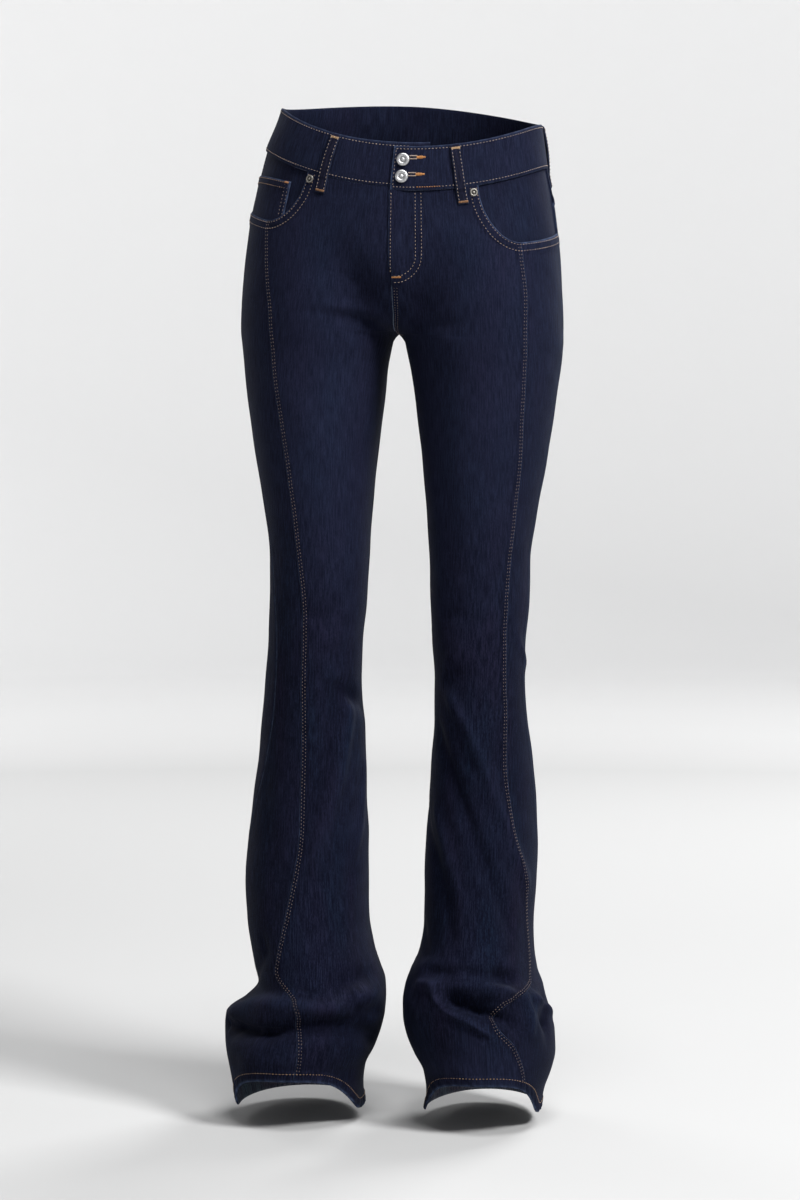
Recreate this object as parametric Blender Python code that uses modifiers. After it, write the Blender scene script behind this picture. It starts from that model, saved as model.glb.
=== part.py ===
"""Flared jeans in the hollow form they have when worn, for Blender 4.5 (metres, +Z up).

The origin is the middle of the waist opening, level with the band's top edge on the hips. The wearer
faces -Y, so +X is the wearer's left. Every cloth piece is a patch of one surface, which is a function
of two numbers:

    turn  the way round one half: 0 at the centre front seam or inseam, 0.5 at the outermost point,
          1 at the centre back seam or inseam again
    row   the height that a thread across the cloth has on the hip, before the waist's dip in front
          and the hem's rise over the foot bend it

Above the crotch a half is half of the hip's ellipse, below it is the closed ellipse of a leg, and over
a short way between them one turns into the other, which bends the seam under the body.
"""

import math

import bmesh
import bpy
import numpy as np
from mathutils import Vector

MM = 0.001
COLLECTION = "flared_jeans"

# Cloth thickness and the room between pieces
WALL = 1.5 * MM
BAND_WALL = 2.4 * MM
PATCH_WALL = 1.2 * MM
LOOP_WALL = 2.0 * MM
SEAM_GAP = 0.3 * MM
LAYER_GAP = 0.6 * MM
HALF_GAP = 0.2 * MM
CROTCH_GAP = 0.5 * MM
CROTCH_GAP_REACH = 10 * MM

# Heights
BAND_TOP = 0.0
BAND_HEIGHT = 47 * MM
BAND_BOTTOM = BAND_TOP - BAND_HEIGHT
CROTCH = -239 * MM
BREAK_TOP = -900 * MM
HEM = -1095 * MM

# How far the waist dips in front and rises behind, how far the hem climbs over the foot, and half
# the turn over which it does
FRONT_DIP = 36 * MM
BACK_RISE = 16 * MM
HEM_CLIMB = 44 * MM
HEM_ARCH = 0.205
HEM_EASE = 0.12

# The left end is buttoned a little lower than the right, which fades towards the centre back
LEFT_DROP = 3.5 * MM

# Heights over which the hip's section turns into the two legs, how near the seam it does so along
# the rounded corner of the seam under the body, and that corner's exponent
FRONT_JOIN = 85 * MM
BACK_JOIN = 115 * MM
WIDE_JOIN = 50 * MM
CURVED_SEAM_TURN = 0.10
CURVED_SEAM_POWER = 2.4

# Radians by which a thigh's lengthwise threads lean to where the hip's are, until they run straight
THIGH_LEAN = 0.50
LEAN_NONE = -560 * MM

# The legs' inner sides stand this far off the seam at the crotch, and close on it in a small arch
NOTCH_HALF = 6 * MM
NOTCH_DEEP = 4 * MM
NOTCH_TURN = 0.07

# The pelvis leans towards the wearer's left, and the lean dies away down the thighs
HIP_ROLL = math.tan(math.radians(3.5))
ROLL_FULL = -200 * MM
ROLL_NONE = -450 * MM

# Hip sections in millimetres. seam is the x of the centre seams, right and left are the outlines, and
# power is the exponent of the section's superellipse
HIP_COLUMNS = ("level", "seam", "right", "left", "front", "back", "power")
HIP_ROWS = (
    (60, 0, -136, 136, -96, 95, 2.1),
    (0, 0, -142, 142, -100, 100, 2.1),
    (-47, -5, -160, 148, -104, 109, 2.15),
    (-90, -8.5, -171, 156, -107, 118, 2.25),
    (-134, -9, -179.5, 161.5, -108, 124, 2.4),
    (-178, -9.5, -185, 164.5, -106, 125, 2.5),
    (-215, -11, -188.5, 166, -101.5, 120, 2.6),
    (-239, -15, -189, 166.5, -98, 113, 2.6),
)

# Leg sections in millimetres from the crotch to the hem, as (level, inner, outer, front, back): the
# inner and outer outline and the depth
RIGHT_LEG_ROWS = (
    (-245, -21.5, -189, -97, 111),
    (-256, -23.5, -188, -95.5, 108),
    (-280, -27.5, -185.5, -92, 101.5),
    (-311, -30.5, -182, -88, 95),
    (-377, -38.5, -172, -81, 84),
    (-444, -44.5, -161, -74, 74),
    (-488, -47, -157, -69, 67),
    (-532, -49.5, -157.5, -65, 62),
    (-576, -54, -159, -62, 59),
    (-620, -56, -162.5, -60, 60),
    (-665, -53, -167, -59, 65.5),
    (-709, -52, -171.5, -60, 74),
    (-753, -51.5, -178, -63, 82),
    (-797, -49.5, -183, -67, 88),
    (-841, -49.5, -187, -72, 92),
    (-886, -48.5, -184.5, -80, 94),
    (-919, -42.5, -178.5, -88, 94),
    (-941, -35, -174, -95, 94),
    (-957, -29.5, -170.5, -101, 93),
    (-974, -28.5, -184, -110, 96),
    (-991, -29.5, -205.5, -116, 101),
    (-1007, -33, -207.5, -118, 104),
    (-1029, -41, -205.5, -117, 103),
    (-1051, -51.5, -201.5, -116, 100),
    (-1073, -54, -197, -116, 98),
    (-1098, -52, -191, -117, 97),
)
LEFT_LEG_ROWS = (
    (-245, -8, 166, -97, 111),
    (-256, -5.5, 165, -95.5, 108),
    (-280, 0, 162, -92, 101.5),
    (-311, 4.5, 158, -88, 95),
    (-377, 12.5, 148.5, -81, 84),
    (-444, 18, 137, -74, 74),
    (-488, 20.5, 131.5, -69, 67),
    (-532, 21.5, 131, -65, 62),
    (-576, 23.5, 126.5, -62, 59),
    (-620, 26, 125.5, -60, 60),
    (-665, 25.5, 128.5, -59, 65.5),
    (-709, 22, 134, -60, 74),
    (-753, 19, 137.5, -63, 82),
    (-797, 15.5, 139, -67, 88),
    (-841, 14, 138, -72, 92),
    (-886, 14, 135, -80, 94),
    (-919, 9, 136.5, -90, 94),
    (-941, 0, 140, -100, 95),
    (-957, -5.5, 147, -110, 97),
    (-974, -8, 151.5, -116, 99),
    (-991, -7.5, 156, -118, 101),
    (-1007, -4.5, 159.5, -118, 103),
    (-1029, 4, 160.5, -117, 103),
    (-1051, 15.5, 156, -116, 101),
    (-1073, 19, 148.5, -116, 99),
    (-1098, 16, 144, -117, 97),
)

LEG_ROWS_OF = {-1: RIGHT_LEG_ROWS, 1: LEFT_LEG_ROWS}

# Seams down the leg, as a turn at each row in millimetres
SEAM_COLUMNS = ("row", "long_right", "long_left", "side_right", "side_left")
SEAM_ROWS = (
    (-47, 0.292, 0.272, 0.50, 0.50),
    (-120, 0.290, 0.274, 0.50, 0.50),
    (-150, 0.280, 0.277, 0.50, 0.50),
    (-190, 0.264, 0.282, 0.50, 0.50),
    (-228, 0.252, 0.281, 0.50, 0.50),
    (-264, 0.248, 0.284, 0.50, 0.50),
    (-317, 0.252, 0.298, 0.486, 0.50),
    (-370, 0.260, 0.325, 0.467, 0.495),
    (-424, 0.274, 0.350, 0.447, 0.49),
    (-480, 0.285, 0.366, 0.414, 0.485),
    (-530, 0.278, 0.362, 0.392, 0.48),
    (-592, 0.270, 0.370, 0.370, 0.48),
    (-640, 0.266, 0.370, 0.366, 0.48),
    (-714, 0.258, 0.350, 0.392, 0.48),
    (-780, 0.252, 0.368, 0.440, 0.49),
    (-818, 0.256, 0.400, 0.480, 0.51),
    (-870, 0.278, 0.440, 0.50, 0.53),
    (-925, 0.320, 0.455, 0.50, 0.54),
    (-950, 0.336, 0.440, 0.49, 0.52),
    (-965, 0.325, 0.400, 0.485, 0.495),
    (-988, 0.280, 0.335, 0.47, 0.50),
    (-1009, 0.250, 0.318, 0.455, 0.51),
    (-1038, 0.234, 0.348, 0.430, 0.52),
    (-1066, 0.229, 0.364, 0.412, 0.53),
    (-1095, 0.227, 0.380, 0.405, 0.53),
)

# Scooped pocket mouths: where they start at the band, how deep they fall to the long seam and how
# much they climb from there to the side seam
MOUTH_START = {-1: 0.195, 1: 0.183}
MOUTH_DEPTH = {-1: 69 * MM, 1: 75 * MM}
MOUTH_CLIMB = {-1: 3 * MM, 1: 5 * MM}
FACING_TUCK = 8 * MM
FACING_GAP = 0.8 * MM

# Coin pocket on the right facing: its inner edge, and its top at that edge and at the side seam
COIN_INNER = 0.239
COIN_TOP_INNER = -65 * MM
COIN_TOP_OUTER = -77 * MM

# Soft folds in millimetres, as (side, turn, level, rise, length, width, tilt): rise is out of the
# cloth, length runs along the fold and width across it, and tilt is its slope in degrees, up towards
# the side seam. Side 0 is both
FOLD_ROWS = (
    (0, 0.78, -160, 7, 55, 55, 0),
    (0, 0.77, -262, -4, 55, 14, 6),
    (0, 0.74, -588, -4, 40, 12, 12),
    (0, 0.70, -622, -3.5, 38, 12, -12),
    (-1, 0.36, -995, -11, 48, 14, 0),
    (-1, 0.10, -984, -9, 42, 13, 12),
    (-1, 0.13, -946, -6, 42, 11, -5),
    (-1, 0.15, -965, 5, 55, 12, 0),
    (-1, 0.76, -962, 6, 60, 14, 8),
    (-1, 0.72, -992, -8, 60, 14, -5),
    (1, 0.20, -932, 6, 62, 11, -2),
    (1, 0.26, -958, -12, 40, 14, -20),
    (1, 0.42, -978, 5, 18, 12, 60),
    (1, 0.74, -950, 6, 55, 14, -8),
    (1, 0.79, -984, -8, 60, 14, 6),
)

# The fly: the left front laps over the right as far down as the zip goes
FLY_LAP = 3 * MM
FLY_LIFT = 1.9 * MM
LAP_END = -151 * MM
FLY_END = -170 * MM

# Waistband, one strip from its left end, which lies on top, round the back to the tab under it
BAND_PROUD = 0.9 * MM
OVER_END = -0.004
OVER_FLAT = 0.08
OVER_RAMP = 0.22
UNDER_RAMP = 1.85
UNDER_FLAT = 1.994
UNDER_END = 2.075
OVER_LIFT = 1.9 * MM
UNDER_SINK = 1.3 * MM
TAB_STANDS = 1 * MM

# Yoke and patch pockets of the seat. A pocket has its inner edge at a distance from the centre back
# and its width along the cloth, each at its top and its corners
YOKE_SIDE = -85 * MM
YOKE_BACK = -109 * MM
POCKET_TOP = -112 * MM
POCKET_CORNER = -220 * MM
POCKET_TIP = 17 * MM
POCKET_INNER = (33 * MM, 41 * MM)
POCKET_WIDTH = (136 * MM, 118 * MM)
POCKET_GAP = 1.2 * MM
POCKET_COLUMNS = 9
POCKET_ROWS = 11

# Belt loops: turn of the top and of the bottom, 0 to 1 on the left half and 2 to 1 on the right
LOOP_TURNS = ((1.858, 1.844), (0.132, 0.148), (1.44, 1.43), (0.56, 0.57), (1.0, 1.0))
LOOP_WIDTH = 10.5 * MM
LOOP_REACH = 0.01                 # turn to each side over which the cloth's width is measured
LOOP_MIDDLE = -24 * MM
LOOP_ROWS = (-1, -12, -24, -36, -45, -52, -60, -68)
LOOP_ARCH = 1.6 * MM
HIP_HALF_GIRTH = 475 * MM

# Buttons and rivets, as (radius, height) profiles from the top's middle down the outer side
BUTTON_TURN = 0.019
BUTTON_ROWS = {"button_upper": -14.5 * MM, "button_lower": -32.5 * MM}
BUTTON_PROFILE = ((0, 3.2), (2.4, 3.2), (2.9, 2.8), (5.4, 3.2), (6.6, 2.7), (7.0, 2.0), (6.6, 1.4),
                  (3.2, 1.2), (3.0, 0), (0, 0))
RIVET_TURNS = {-1: 0.185, 1: 0.171}
RIVET_ROW = -55 * MM
RIVET_PROFILE = ((0, 1.8), (1.5, 1.7), (2.2, 1.0), (3.0, 1.4), (4.1, 1.1), (4.5, 0.5), (4.5, 0), (0, 0))
ROUND_STEPS = 20

# Grid lines. The rows of the upper pieces are given along each of their edges
CENTRE_COLUMNS = (0, 0.04, 0.12, 0.26, 0.41, 0.56, 0.71, 0.86, 1)
SIDE_COLUMNS = 6
BACK_COLUMNS = (0, 0.10, 0.20, 0.30, 0.40, 0.50, 0.60, 0.695, 0.78, 0.855, 0.92, 0.965, 1)
MOUTH_ROWS = 7
FRONT_SEAM_ROWS = (-47, -68, -89, -110, -130, -150, -169, -187, -203, -216, -226, -233, -237, -239)
BACK_SEAM_ROWS = (-109, -128, -147, -165, -182, -198, -212, -224, -233, -239)
BACK_SIDE_ROWS = (-85, -105, -125, -146, -166, -184, -201, -217, -230, -239)
LEG_ROWS = (
    -243, -251, -264, -283, -311, -345, -380, -415, -450, -485, -520, -552, -584, -616, -650, -686,
    -722, -758, -794, -830, -862, -890, -912, -930, -945, -957, -968, -979, -990, -1001, -1013,
    -1027, -1043, -1060, -1078, -1095,
)

RIGHT = -1
LEFT = 1
SIDE_NAMES = {RIGHT: "right", LEFT: "left"}
SEAM_TURN = SEAM_GAP / 2 / HIP_HALF_GIRTH


# ---------------------------------------------------------------------------- the surface

def curve_through(known, values, at):
    """Monotone cubic curve through values at the rising positions known, read at at."""
    known = np.asarray(known, dtype=float)
    values = np.asarray(values, dtype=float)
    step = np.diff(known)
    slope = np.diff(values) / step
    before, after = slope[:-1], slope[1:]
    total = np.where(before * after > 0, before + after, 1.0)
    inner = np.where(before * after > 0, 2 * before * after / total, 0.0)
    tangent = np.concatenate((slope[:1], inner, slope[-1:]))
    at = np.clip(at, known[0], known[-1])
    span = np.clip(np.searchsorted(known, at, side="right") - 1, 0, len(step) - 1)
    t = (at - known[span]) / step[span]
    rest = 1 - t
    ends = values[span] * rest * rest * (1 + 2 * t) + values[span + 1] * t * t * (3 - 2 * t)
    bends = tangent[span] * rest * rest * t - tangent[span + 1] * t * t * rest
    return ends + bends * step[span]


def read_table(rows, columns, name, level):
    """Column name of a table of millimetres, read at heights in metres."""
    upward = rows[::-1]
    column = columns.index(name)
    heights = [row[0] * MM for row in upward]
    return curve_through(heights, [row[column] for row in upward], level)


def section_rows(side):
    """The whole table of one half as (level, seam, inner, outer, front, back, power)."""
    outline = HIP_COLUMNS.index(SIDE_NAMES[side])
    off = side * NOTCH_HALF / MM
    hip = [(row[0], row[1], row[1] + off, row[outline], row[4], row[5], row[6]) for row in HIP_ROWS]
    seam, power = HIP_ROWS[-1][1], HIP_ROWS[-1][6]
    return hip + [(row[0], seam, *row[1:], power) for row in LEG_ROWS_OF[side]]


SECTION_COLUMNS = ("level", "seam", "inner", "outer", "front", "back", "power")
SECTIONS = {RIGHT: section_rows(RIGHT), LEFT: section_rows(LEFT)}


def smooth(value):
    """0 to 1 with level ends."""
    value = np.clip(value, 0.0, 1.0)
    return value * value * (3 - 2 * value)


def waist_shift(turn):
    """How far the waist's edge lies above its height on the hip."""
    wave = (1 + np.cos(2 * np.pi * turn)) / 2
    return np.where(np.abs(turn) < 0.5, -FRONT_DIP, BACK_RISE) * wave


def hem_shift(turn):
    """How far the hem climbs over the foot, with its two corners eased."""
    from_back = (turn + 0.25) % 1.0 - 0.25
    climb = 1 - np.abs((from_back - 0.25) / HEM_ARCH) ** 3
    return HEM_CLIMB * HEM_EASE * np.log1p(np.exp(climb / HEM_EASE))


def level_of(side, turn, row):
    """Height of a thread: bent with the waist above the crotch and with the hem below the break."""
    above = np.clip((row - CROTCH) / (BAND_BOTTOM - CROTCH), 0.0, 1.0)
    below = np.clip((BREAK_TOP - row) / (BREAK_TOP - HEM), 0.0, 1.0)
    waist = waist_shift(turn)
    if side == LEFT:
        waist = waist - LEFT_DROP * (1 - turn ** 2)
    return row + waist * above + hem_shift(turn) * below


def turn_off_seam(turn):
    """Turn from the nearer centre seam."""
    return np.minimum(np.abs(turn), np.abs(1 - turn))


def hip_share(turn, level):
    """1 where the cloth follows the hip's section and 0 where it follows the leg's."""
    at_seam = np.exp(-(turn_off_seam(turn) / CURVED_SEAM_TURN) ** 2)
    height = FRONT_JOIN + (BACK_JOIN - FRONT_JOIN) * smooth(turn) + WIDE_JOIN * (1 - at_seam)
    climbed = np.clip((level - CROTCH) / height, 0.0, 1.0)
    curved = (1 - (1 - climbed) ** CURVED_SEAM_POWER) ** (1 / CURVED_SEAM_POWER)
    return smooth(climbed) + (curved - smooth(climbed)) * at_seam


def fold_rise(side, turn, level):
    """Sum of the soft folds: each is a bell across its line, with rounded ends along it."""
    total = np.zeros(np.broadcast(turn, level).shape)
    for fold_side, at_turn, at_level, rise, length, width, tilt in FOLD_ROWS:
        if fold_side not in (0, side):
            continue
        girth = 2 * girth_of(side, at_level * MM)
        off_turn = turn - at_turn
        if at_level * MM < CROTCH:
            off_turn = (off_turn + 0.5) % 1.0 - 0.5
        along = off_turn * girth
        up = level - at_level * MM
        lean = math.radians(tilt)
        down_line = along * math.cos(lean) + up * math.sin(lean)
        across = up * math.cos(lean) - along * math.sin(lean)
        bell = np.exp(-(across / (width * MM)) ** 2 - (down_line / (length * MM)) ** 4)
        total = total + rise * MM * bell
    return total


def girth_of(side, level):
    """Half the length round one half at a height, from its section's two radii."""
    inner, outer, front, back = (
        float(read_table(SECTIONS[side], SECTION_COLUMNS, name, np.array([level]))[0]) * MM
        for name in ("inner", "outer", "front", "back"))
    reach = abs(outer - inner) if level > CROTCH else abs(outer - inner) / 2
    depth = (back - front) / 2
    quarter = math.pi / 2 * math.sqrt((reach ** 2 + depth ** 2) / 2)
    return quarter if level > CROTCH else 2 * quarter


def bare_surface(side, turn, row):
    """Outer face without folds or roll, as x, y and level."""
    level = level_of(side, turn, row)
    seam, inner, outer, front, back = (
        read_table(SECTIONS[side], SECTION_COLUMNS, name, level) * MM
        for name in ("seam", "inner", "outer", "front", "back"))
    power = read_table(SECTIONS[side], SECTION_COLUMNS, "power", level)
    mid_y, half_y = (front + back) / 2, (back - front) / 2
    below = np.maximum(CROTCH - level, 0.0) / NOTCH_DEEP
    closed = np.exp(-(turn_off_seam(turn) / NOTCH_TURN) ** 2 - below ** 2)
    lean = THIGH_LEAN * smooth((level - LEAN_NONE) / (CROTCH - LEAN_NONE))
    angle = 2 * np.pi * turn + lean * np.sin(2 * np.pi * turn)
    leg_x = (inner + outer) / 2 - (outer - inner) / 2 * np.cos(angle)
    leg_x = leg_x + (seam - inner) * closed
    leg_y = mid_y - half_y * np.sin(angle)
    sine, cosine = np.sin(np.pi * turn), np.cos(np.pi * turn)
    full = (np.abs(sine) ** power + np.abs(cosine) ** power) ** (1 / power)
    hip_x = seam + (outer - seam) * sine / full
    hip_y = mid_y - half_y * cosine / full
    share = hip_share(turn, level)
    apart = HALF_GAP + CROTCH_GAP * np.exp(-((level - CROTCH) / CROTCH_GAP_REACH) ** 2)
    x = leg_x + (hip_x - leg_x) * share + side * apart
    y = leg_y + (hip_y - leg_y) * share
    return np.stack((x, y, level), axis=-1)


def outward(side, turn, row, shape):
    """Unit normals of a surface function, from its slopes both ways."""
    small_turn = 0.002
    above = np.where(row > CROTCH + 0.1 * MM, np.minimum(1 * MM, (row - CROTCH) / 2), 0.0)
    below = np.where(row > CROTCH + 0.1 * MM, above, 1 * MM)
    round_it = shape(side, turn + small_turn, row) - shape(side, turn - small_turn, row)
    down_it = shape(side, turn, row - below) - shape(side, turn, row + above)
    normal = np.cross(round_it, down_it) * -side
    return normal / np.linalg.norm(normal, axis=-1, keepdims=True)


def folded_surface(side, turn, row):
    """Outer face with its folds, before the roll."""
    points = bare_surface(side, turn, row)
    rise = fold_rise(side, turn, points[..., 2])
    return points + outward(side, turn, row, bare_surface) * rise[..., None]


def surface(side, turn, row, lift=0.0):
    """Points lift metres outside the cloth's outer face."""
    turn, row = np.broadcast_arrays(np.asarray(turn, dtype=float), np.asarray(row, dtype=float))
    points = folded_surface(side, turn, row)
    points = points + outward(side, turn, row, folded_surface) * np.asarray(lift)[..., None]
    seam = read_table(SECTIONS[side], SECTION_COLUMNS, "seam", points[..., 2]) * MM
    roll = HIP_ROLL * smooth((points[..., 2] - ROLL_NONE) / (ROLL_FULL - ROLL_NONE))
    points[..., 2] -= (points[..., 0] - seam) * roll
    return points


def whole_turn(around, row, lift=0.0):
    """The surface above the crotch with one turn for both halves: 0 to 1 left, 1 to 2 right.

    Each half runs on past its centre front seam, to 0 and less or to 2 and more.
    """
    around, row, lift = np.broadcast_arrays(around, row, lift)
    left = surface(LEFT, np.minimum(around, 1.0), row, lift)
    right = surface(RIGHT, 2 - np.maximum(around, 1.0), row, lift)
    return np.where((around <= 1)[..., None], left, right)


# ---------------------------------------------------------------------------- seams and edges

def long_seam(side, row):
    """Turn of the seam down the front of a leg."""
    return read_table(SEAM_ROWS, SEAM_COLUMNS, "long_" + SIDE_NAMES[side], row)


def side_seam(side, row):
    """Turn of the side seam."""
    return read_table(SEAM_ROWS, SEAM_COLUMNS, "side_" + SIDE_NAMES[side], row)


def mouth_bottom(side):
    """Row where the pocket's mouth meets the long seam."""
    return BAND_BOTTOM - MOUTH_DEPTH[side]


def mouth_row(side, turn):
    """Row of the pocket's mouth: a quarter ellipse to the long seam, then a slow climb."""
    start = MOUTH_START[side]
    meeting = float(long_seam(side, mouth_bottom(side)))
    short = np.clip((meeting - turn) / (meeting - start), 0.0, 1.0)
    past = np.clip((turn - meeting) / (0.5 - meeting), 0.0, 1.0)
    return BAND_BOTTOM - MOUTH_DEPTH[side] * np.sqrt(1 - short ** 2) + MOUTH_CLIMB[side] * past ** 2


def down_to_hem(upper):
    """Rows of a piece from its upper rows in metres, one column per edge or one for all, to the hem."""
    leg = np.array(LEG_ROWS) * MM
    return np.concatenate((upper, leg))


def turn_from_back(side, row, off_seam, distance):
    """Turn that lies a distance along the cloth from where it is off_seam wide of the centre back."""
    turns = np.linspace(1.0, 0.45, 111)
    points = surface(side, turns, row)
    steps = np.linalg.norm(np.diff(points, axis=0), axis=1)
    run = np.concatenate(([0.0], np.cumsum(steps)))
    start = np.interp(off_seam, np.abs(points[:, 0] - points[0, 0]), run)
    return np.interp(start + distance, run, turns)


# ---------------------------------------------------------------------------- making objects

def make_finish(name, colour, roughness, metallic):
    """One Principled material."""
    finish = bpy.data.materials.new(name)
    finish.use_nodes = True
    shader = finish.node_tree.nodes["Principled BSDF"]
    shader.inputs["Base Color"].default_value = (*colour, 1.0)
    shader.inputs["Roughness"].default_value = roughness
    shader.inputs["Metallic"].default_value = metallic
    finish.diffuse_color = (*colour, 1.0)
    return finish


def link_object(name, mesh, finish):
    """New object of a mesh in the model's collection, with its material."""
    piece = bpy.data.objects.new(name, mesh)
    bpy.data.collections[COLLECTION].objects.link(piece)
    mesh.materials.append(finish)
    return piece


def sheet_object(name, points, wall, finish, turn_over=False):
    """Cloth through a net of points on its inner face, rows down and columns round, given a wall."""
    row_count, column_count = points.shape[:2]
    net = bmesh.new()
    bmesh.ops.create_grid(net, x_segments=column_count - 1, y_segments=row_count - 1, size=1.0)
    for vertex in net.verts:
        column = round((vertex.co.x + 1) / 2 * (column_count - 1))
        row = round((1 - vertex.co.y) / 2 * (row_count - 1))
        vertex.co = points[row, column]
    if turn_over:
        bmesh.ops.reverse_faces(net, faces=net.faces)
    mesh = bpy.data.meshes.new(name)
    net.to_mesh(mesh)
    net.free()
    mesh.shade_smooth()
    piece = link_object(name, mesh, finish)
    shell = piece.modifiers.new("wall", "SOLIDIFY")
    shell.thickness = wall
    shell.offset = 1.0
    return piece


def cloth_piece(kind, side, turn, row, finish, lift=0.0, wall=WALL):
    """One half's piece whose outer face lies lift outside the surface."""
    points = surface(side, turn, row, np.asarray(lift) - wall)
    return sheet_object(kind + "_" + SIDE_NAMES[side], points, wall, finish, side == RIGHT)


def turned_object(name, profile, place, axis, finish):
    """Round piece from a profile in millimetres, standing on place along axis."""
    mesh = bpy.data.meshes.new(name)
    points = [(radius * MM, 0, height * MM) for radius, height in profile]
    mesh.from_pydata(points, [(i, i + 1) for i in range(len(points) - 1)], [])
    piece = link_object(name, mesh, finish)
    screw = piece.modifiers.new("turn", "SCREW")
    screw.steps = ROUND_STEPS
    screw.render_steps = ROUND_STEPS
    screw.use_merge_vertices = True
    screw.merge_threshold = 0.01 * MM
    screw.use_smooth_shade = True
    piece.location = place
    piece.rotation_euler = Vector(axis).to_track_quat("Z", "Y").to_euler()
    return piece


# ---------------------------------------------------------------------------- the pieces

def front_centre(side, finish):
    """From the waist to the hem between the centre or inseam and the long seam, under the mouth."""
    arc = np.linspace(0, math.pi / 2, MOUTH_ROWS)
    seam_turn = float(long_seam(side, mouth_bottom(side)))
    mouth_turn = seam_turn - (seam_turn - MOUTH_START[side]) * np.cos(arc)
    mouth = BAND_BOTTOM - MOUTH_DEPTH[side] * np.sin(arc)
    below = len(FRONT_SEAM_ROWS) - MOUTH_ROWS
    seam = np.linspace(mouth[-1], CROTCH, below + 1)[1:]
    inner_row = down_to_hem(np.array(FRONT_SEAM_ROWS) * MM)[:, None]
    outer_row = down_to_hem(np.concatenate((mouth, seam)))[:, None]
    outer_turn = long_seam(side, outer_row)
    outer_turn[:MOUTH_ROWS, 0] = mouth_turn
    share = np.array(CENTRE_COLUMNS)[None, :]
    row = inner_row + (outer_row - inner_row) * share
    row[0] -= SEAM_GAP / 2
    turn = SEAM_TURN + (outer_turn - 2 * SEAM_TURN) * share
    lift = np.zeros(row.shape)
    if side == LEFT:
        lapped = inner_row[:, 0] > LAP_END
        turn[lapped, 0] -= FLY_LAP / HIP_HALF_GIRTH
        raised = inner_row[:, 0] > FLY_END
        lift[raised, :2] = FLY_LIFT
    return cloth_piece("front_centre", side, turn, row, finish, lift)


def front_side(side, finish):
    """From the pocket's mouth to the hem between the long seam and the side seam."""
    below = len(FRONT_SEAM_ROWS) - MOUTH_ROWS
    upper = np.linspace(mouth_bottom(side), CROTCH, below + 1)
    row = down_to_hem(upper)[:, None]
    share = np.linspace(0, 1, SIDE_COLUMNS + 1)[None, :]
    fade = np.clip((row - CROTCH) / (upper[0] - CROTCH), 0.0, 1.0)
    row = row + MOUTH_CLIMB[side] * share ** 2 * fade
    near, far = long_seam(side, row) + SEAM_TURN, side_seam(side, row) - SEAM_TURN
    turn = near + (far - near) * share
    return cloth_piece("front_side", side, turn, row, finish)


def back(side, finish):
    """From the yoke to the hem between the side seam and the centre back or inseam."""
    share = np.array(BACK_COLUMNS)[None, :]
    side_row = down_to_hem(np.array(BACK_SIDE_ROWS) * MM)[:, None]
    back_row = down_to_hem(np.array(BACK_SEAM_ROWS) * MM)[:, None]
    row = side_row + (back_row - side_row) * share
    row[0] -= SEAM_GAP / 2
    near = side_seam(side, row) + SEAM_TURN
    turn = near + (1 - SEAM_TURN - near) * share
    return cloth_piece("back", side, turn, row, finish)


def yoke(side, finish):
    """Between the band and the back, deepest at the centre."""
    share = np.array(BACK_COLUMNS)[None, :]
    lower = YOKE_SIDE + (YOKE_BACK - YOKE_SIDE) * share + SEAM_GAP / 2
    upper = BAND_BOTTOM - SEAM_GAP / 2
    row = upper + (lower - upper) * np.linspace(0, 1, 3)[:, None]
    near = side_seam(side, row) + SEAM_TURN
    turn = near + (1 - SEAM_TURN - near) * share
    return cloth_piece("yoke", side, turn, row, finish)


def facing(side, finish):
    """Denim behind the pocket's mouth, tucked under the front panels."""
    tuck = FACING_TUCK / HIP_HALF_GIRTH
    near, far = MOUTH_START[side] - tuck, 0.5 - SEAM_TURN
    turn = near + (far - near) * np.linspace(0, 1, 9)[None, :]
    upper = BAND_BOTTOM - SEAM_GAP / 2
    lower = mouth_row(side, turn + tuck) - FACING_TUCK
    row = upper + (lower - upper) * np.linspace(0, 1, 4)[:, None]
    under = -(WALL + FACING_GAP)
    return cloth_piece("facing", side, turn, row, finish, under, PATCH_WALL)


def coin_pocket(finish):
    """Small patch on the right facing, cut along the mouth."""
    near, far = COIN_INNER, 0.5 - 2 * SEAM_TURN
    share = np.linspace(0, 1, 6)[None, :]
    turn = near + (far - near) * share
    upper = COIN_TOP_INNER + (COIN_TOP_OUTER - COIN_TOP_INNER) * share
    lower = mouth_row(RIGHT, turn) + LAYER_GAP
    row = upper + (lower - upper) * np.linspace(0, 1, 4)[:, None]
    lift = PATCH_WALL - WALL
    points = surface(RIGHT, turn, row, lift - PATCH_WALL)
    return sheet_object("coin_pocket", points, PATCH_WALL, finish, True)


def back_pocket(side, finish):
    """Patch pocket with a blunt point, on the back panel."""
    share = np.linspace(0, 1, POCKET_COLUMNS + 1)
    down = np.linspace(0, 1, POCKET_ROWS + 1)
    lower = POCKET_CORNER - POCKET_TIP * (1 - np.abs(2 * share - 1))
    row = POCKET_TOP + (lower - POCKET_TOP)[None, :] * down[:, None]
    turn = np.empty(row.shape)
    for index in np.ndindex(row.shape):
        fall = down[index[0]]
        inner = POCKET_INNER[0] + (POCKET_INNER[1] - POCKET_INNER[0]) * fall
        width = POCKET_WIDTH[0] + (POCKET_WIDTH[1] - POCKET_WIDTH[0]) * fall
        turn[index] = turn_from_back(side, row[index], inner, width * (1 - share[index[1]]))
    lift = POCKET_GAP + PATCH_WALL
    return cloth_piece("back_pocket", side, turn, row, finish, lift, PATCH_WALL)


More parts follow.
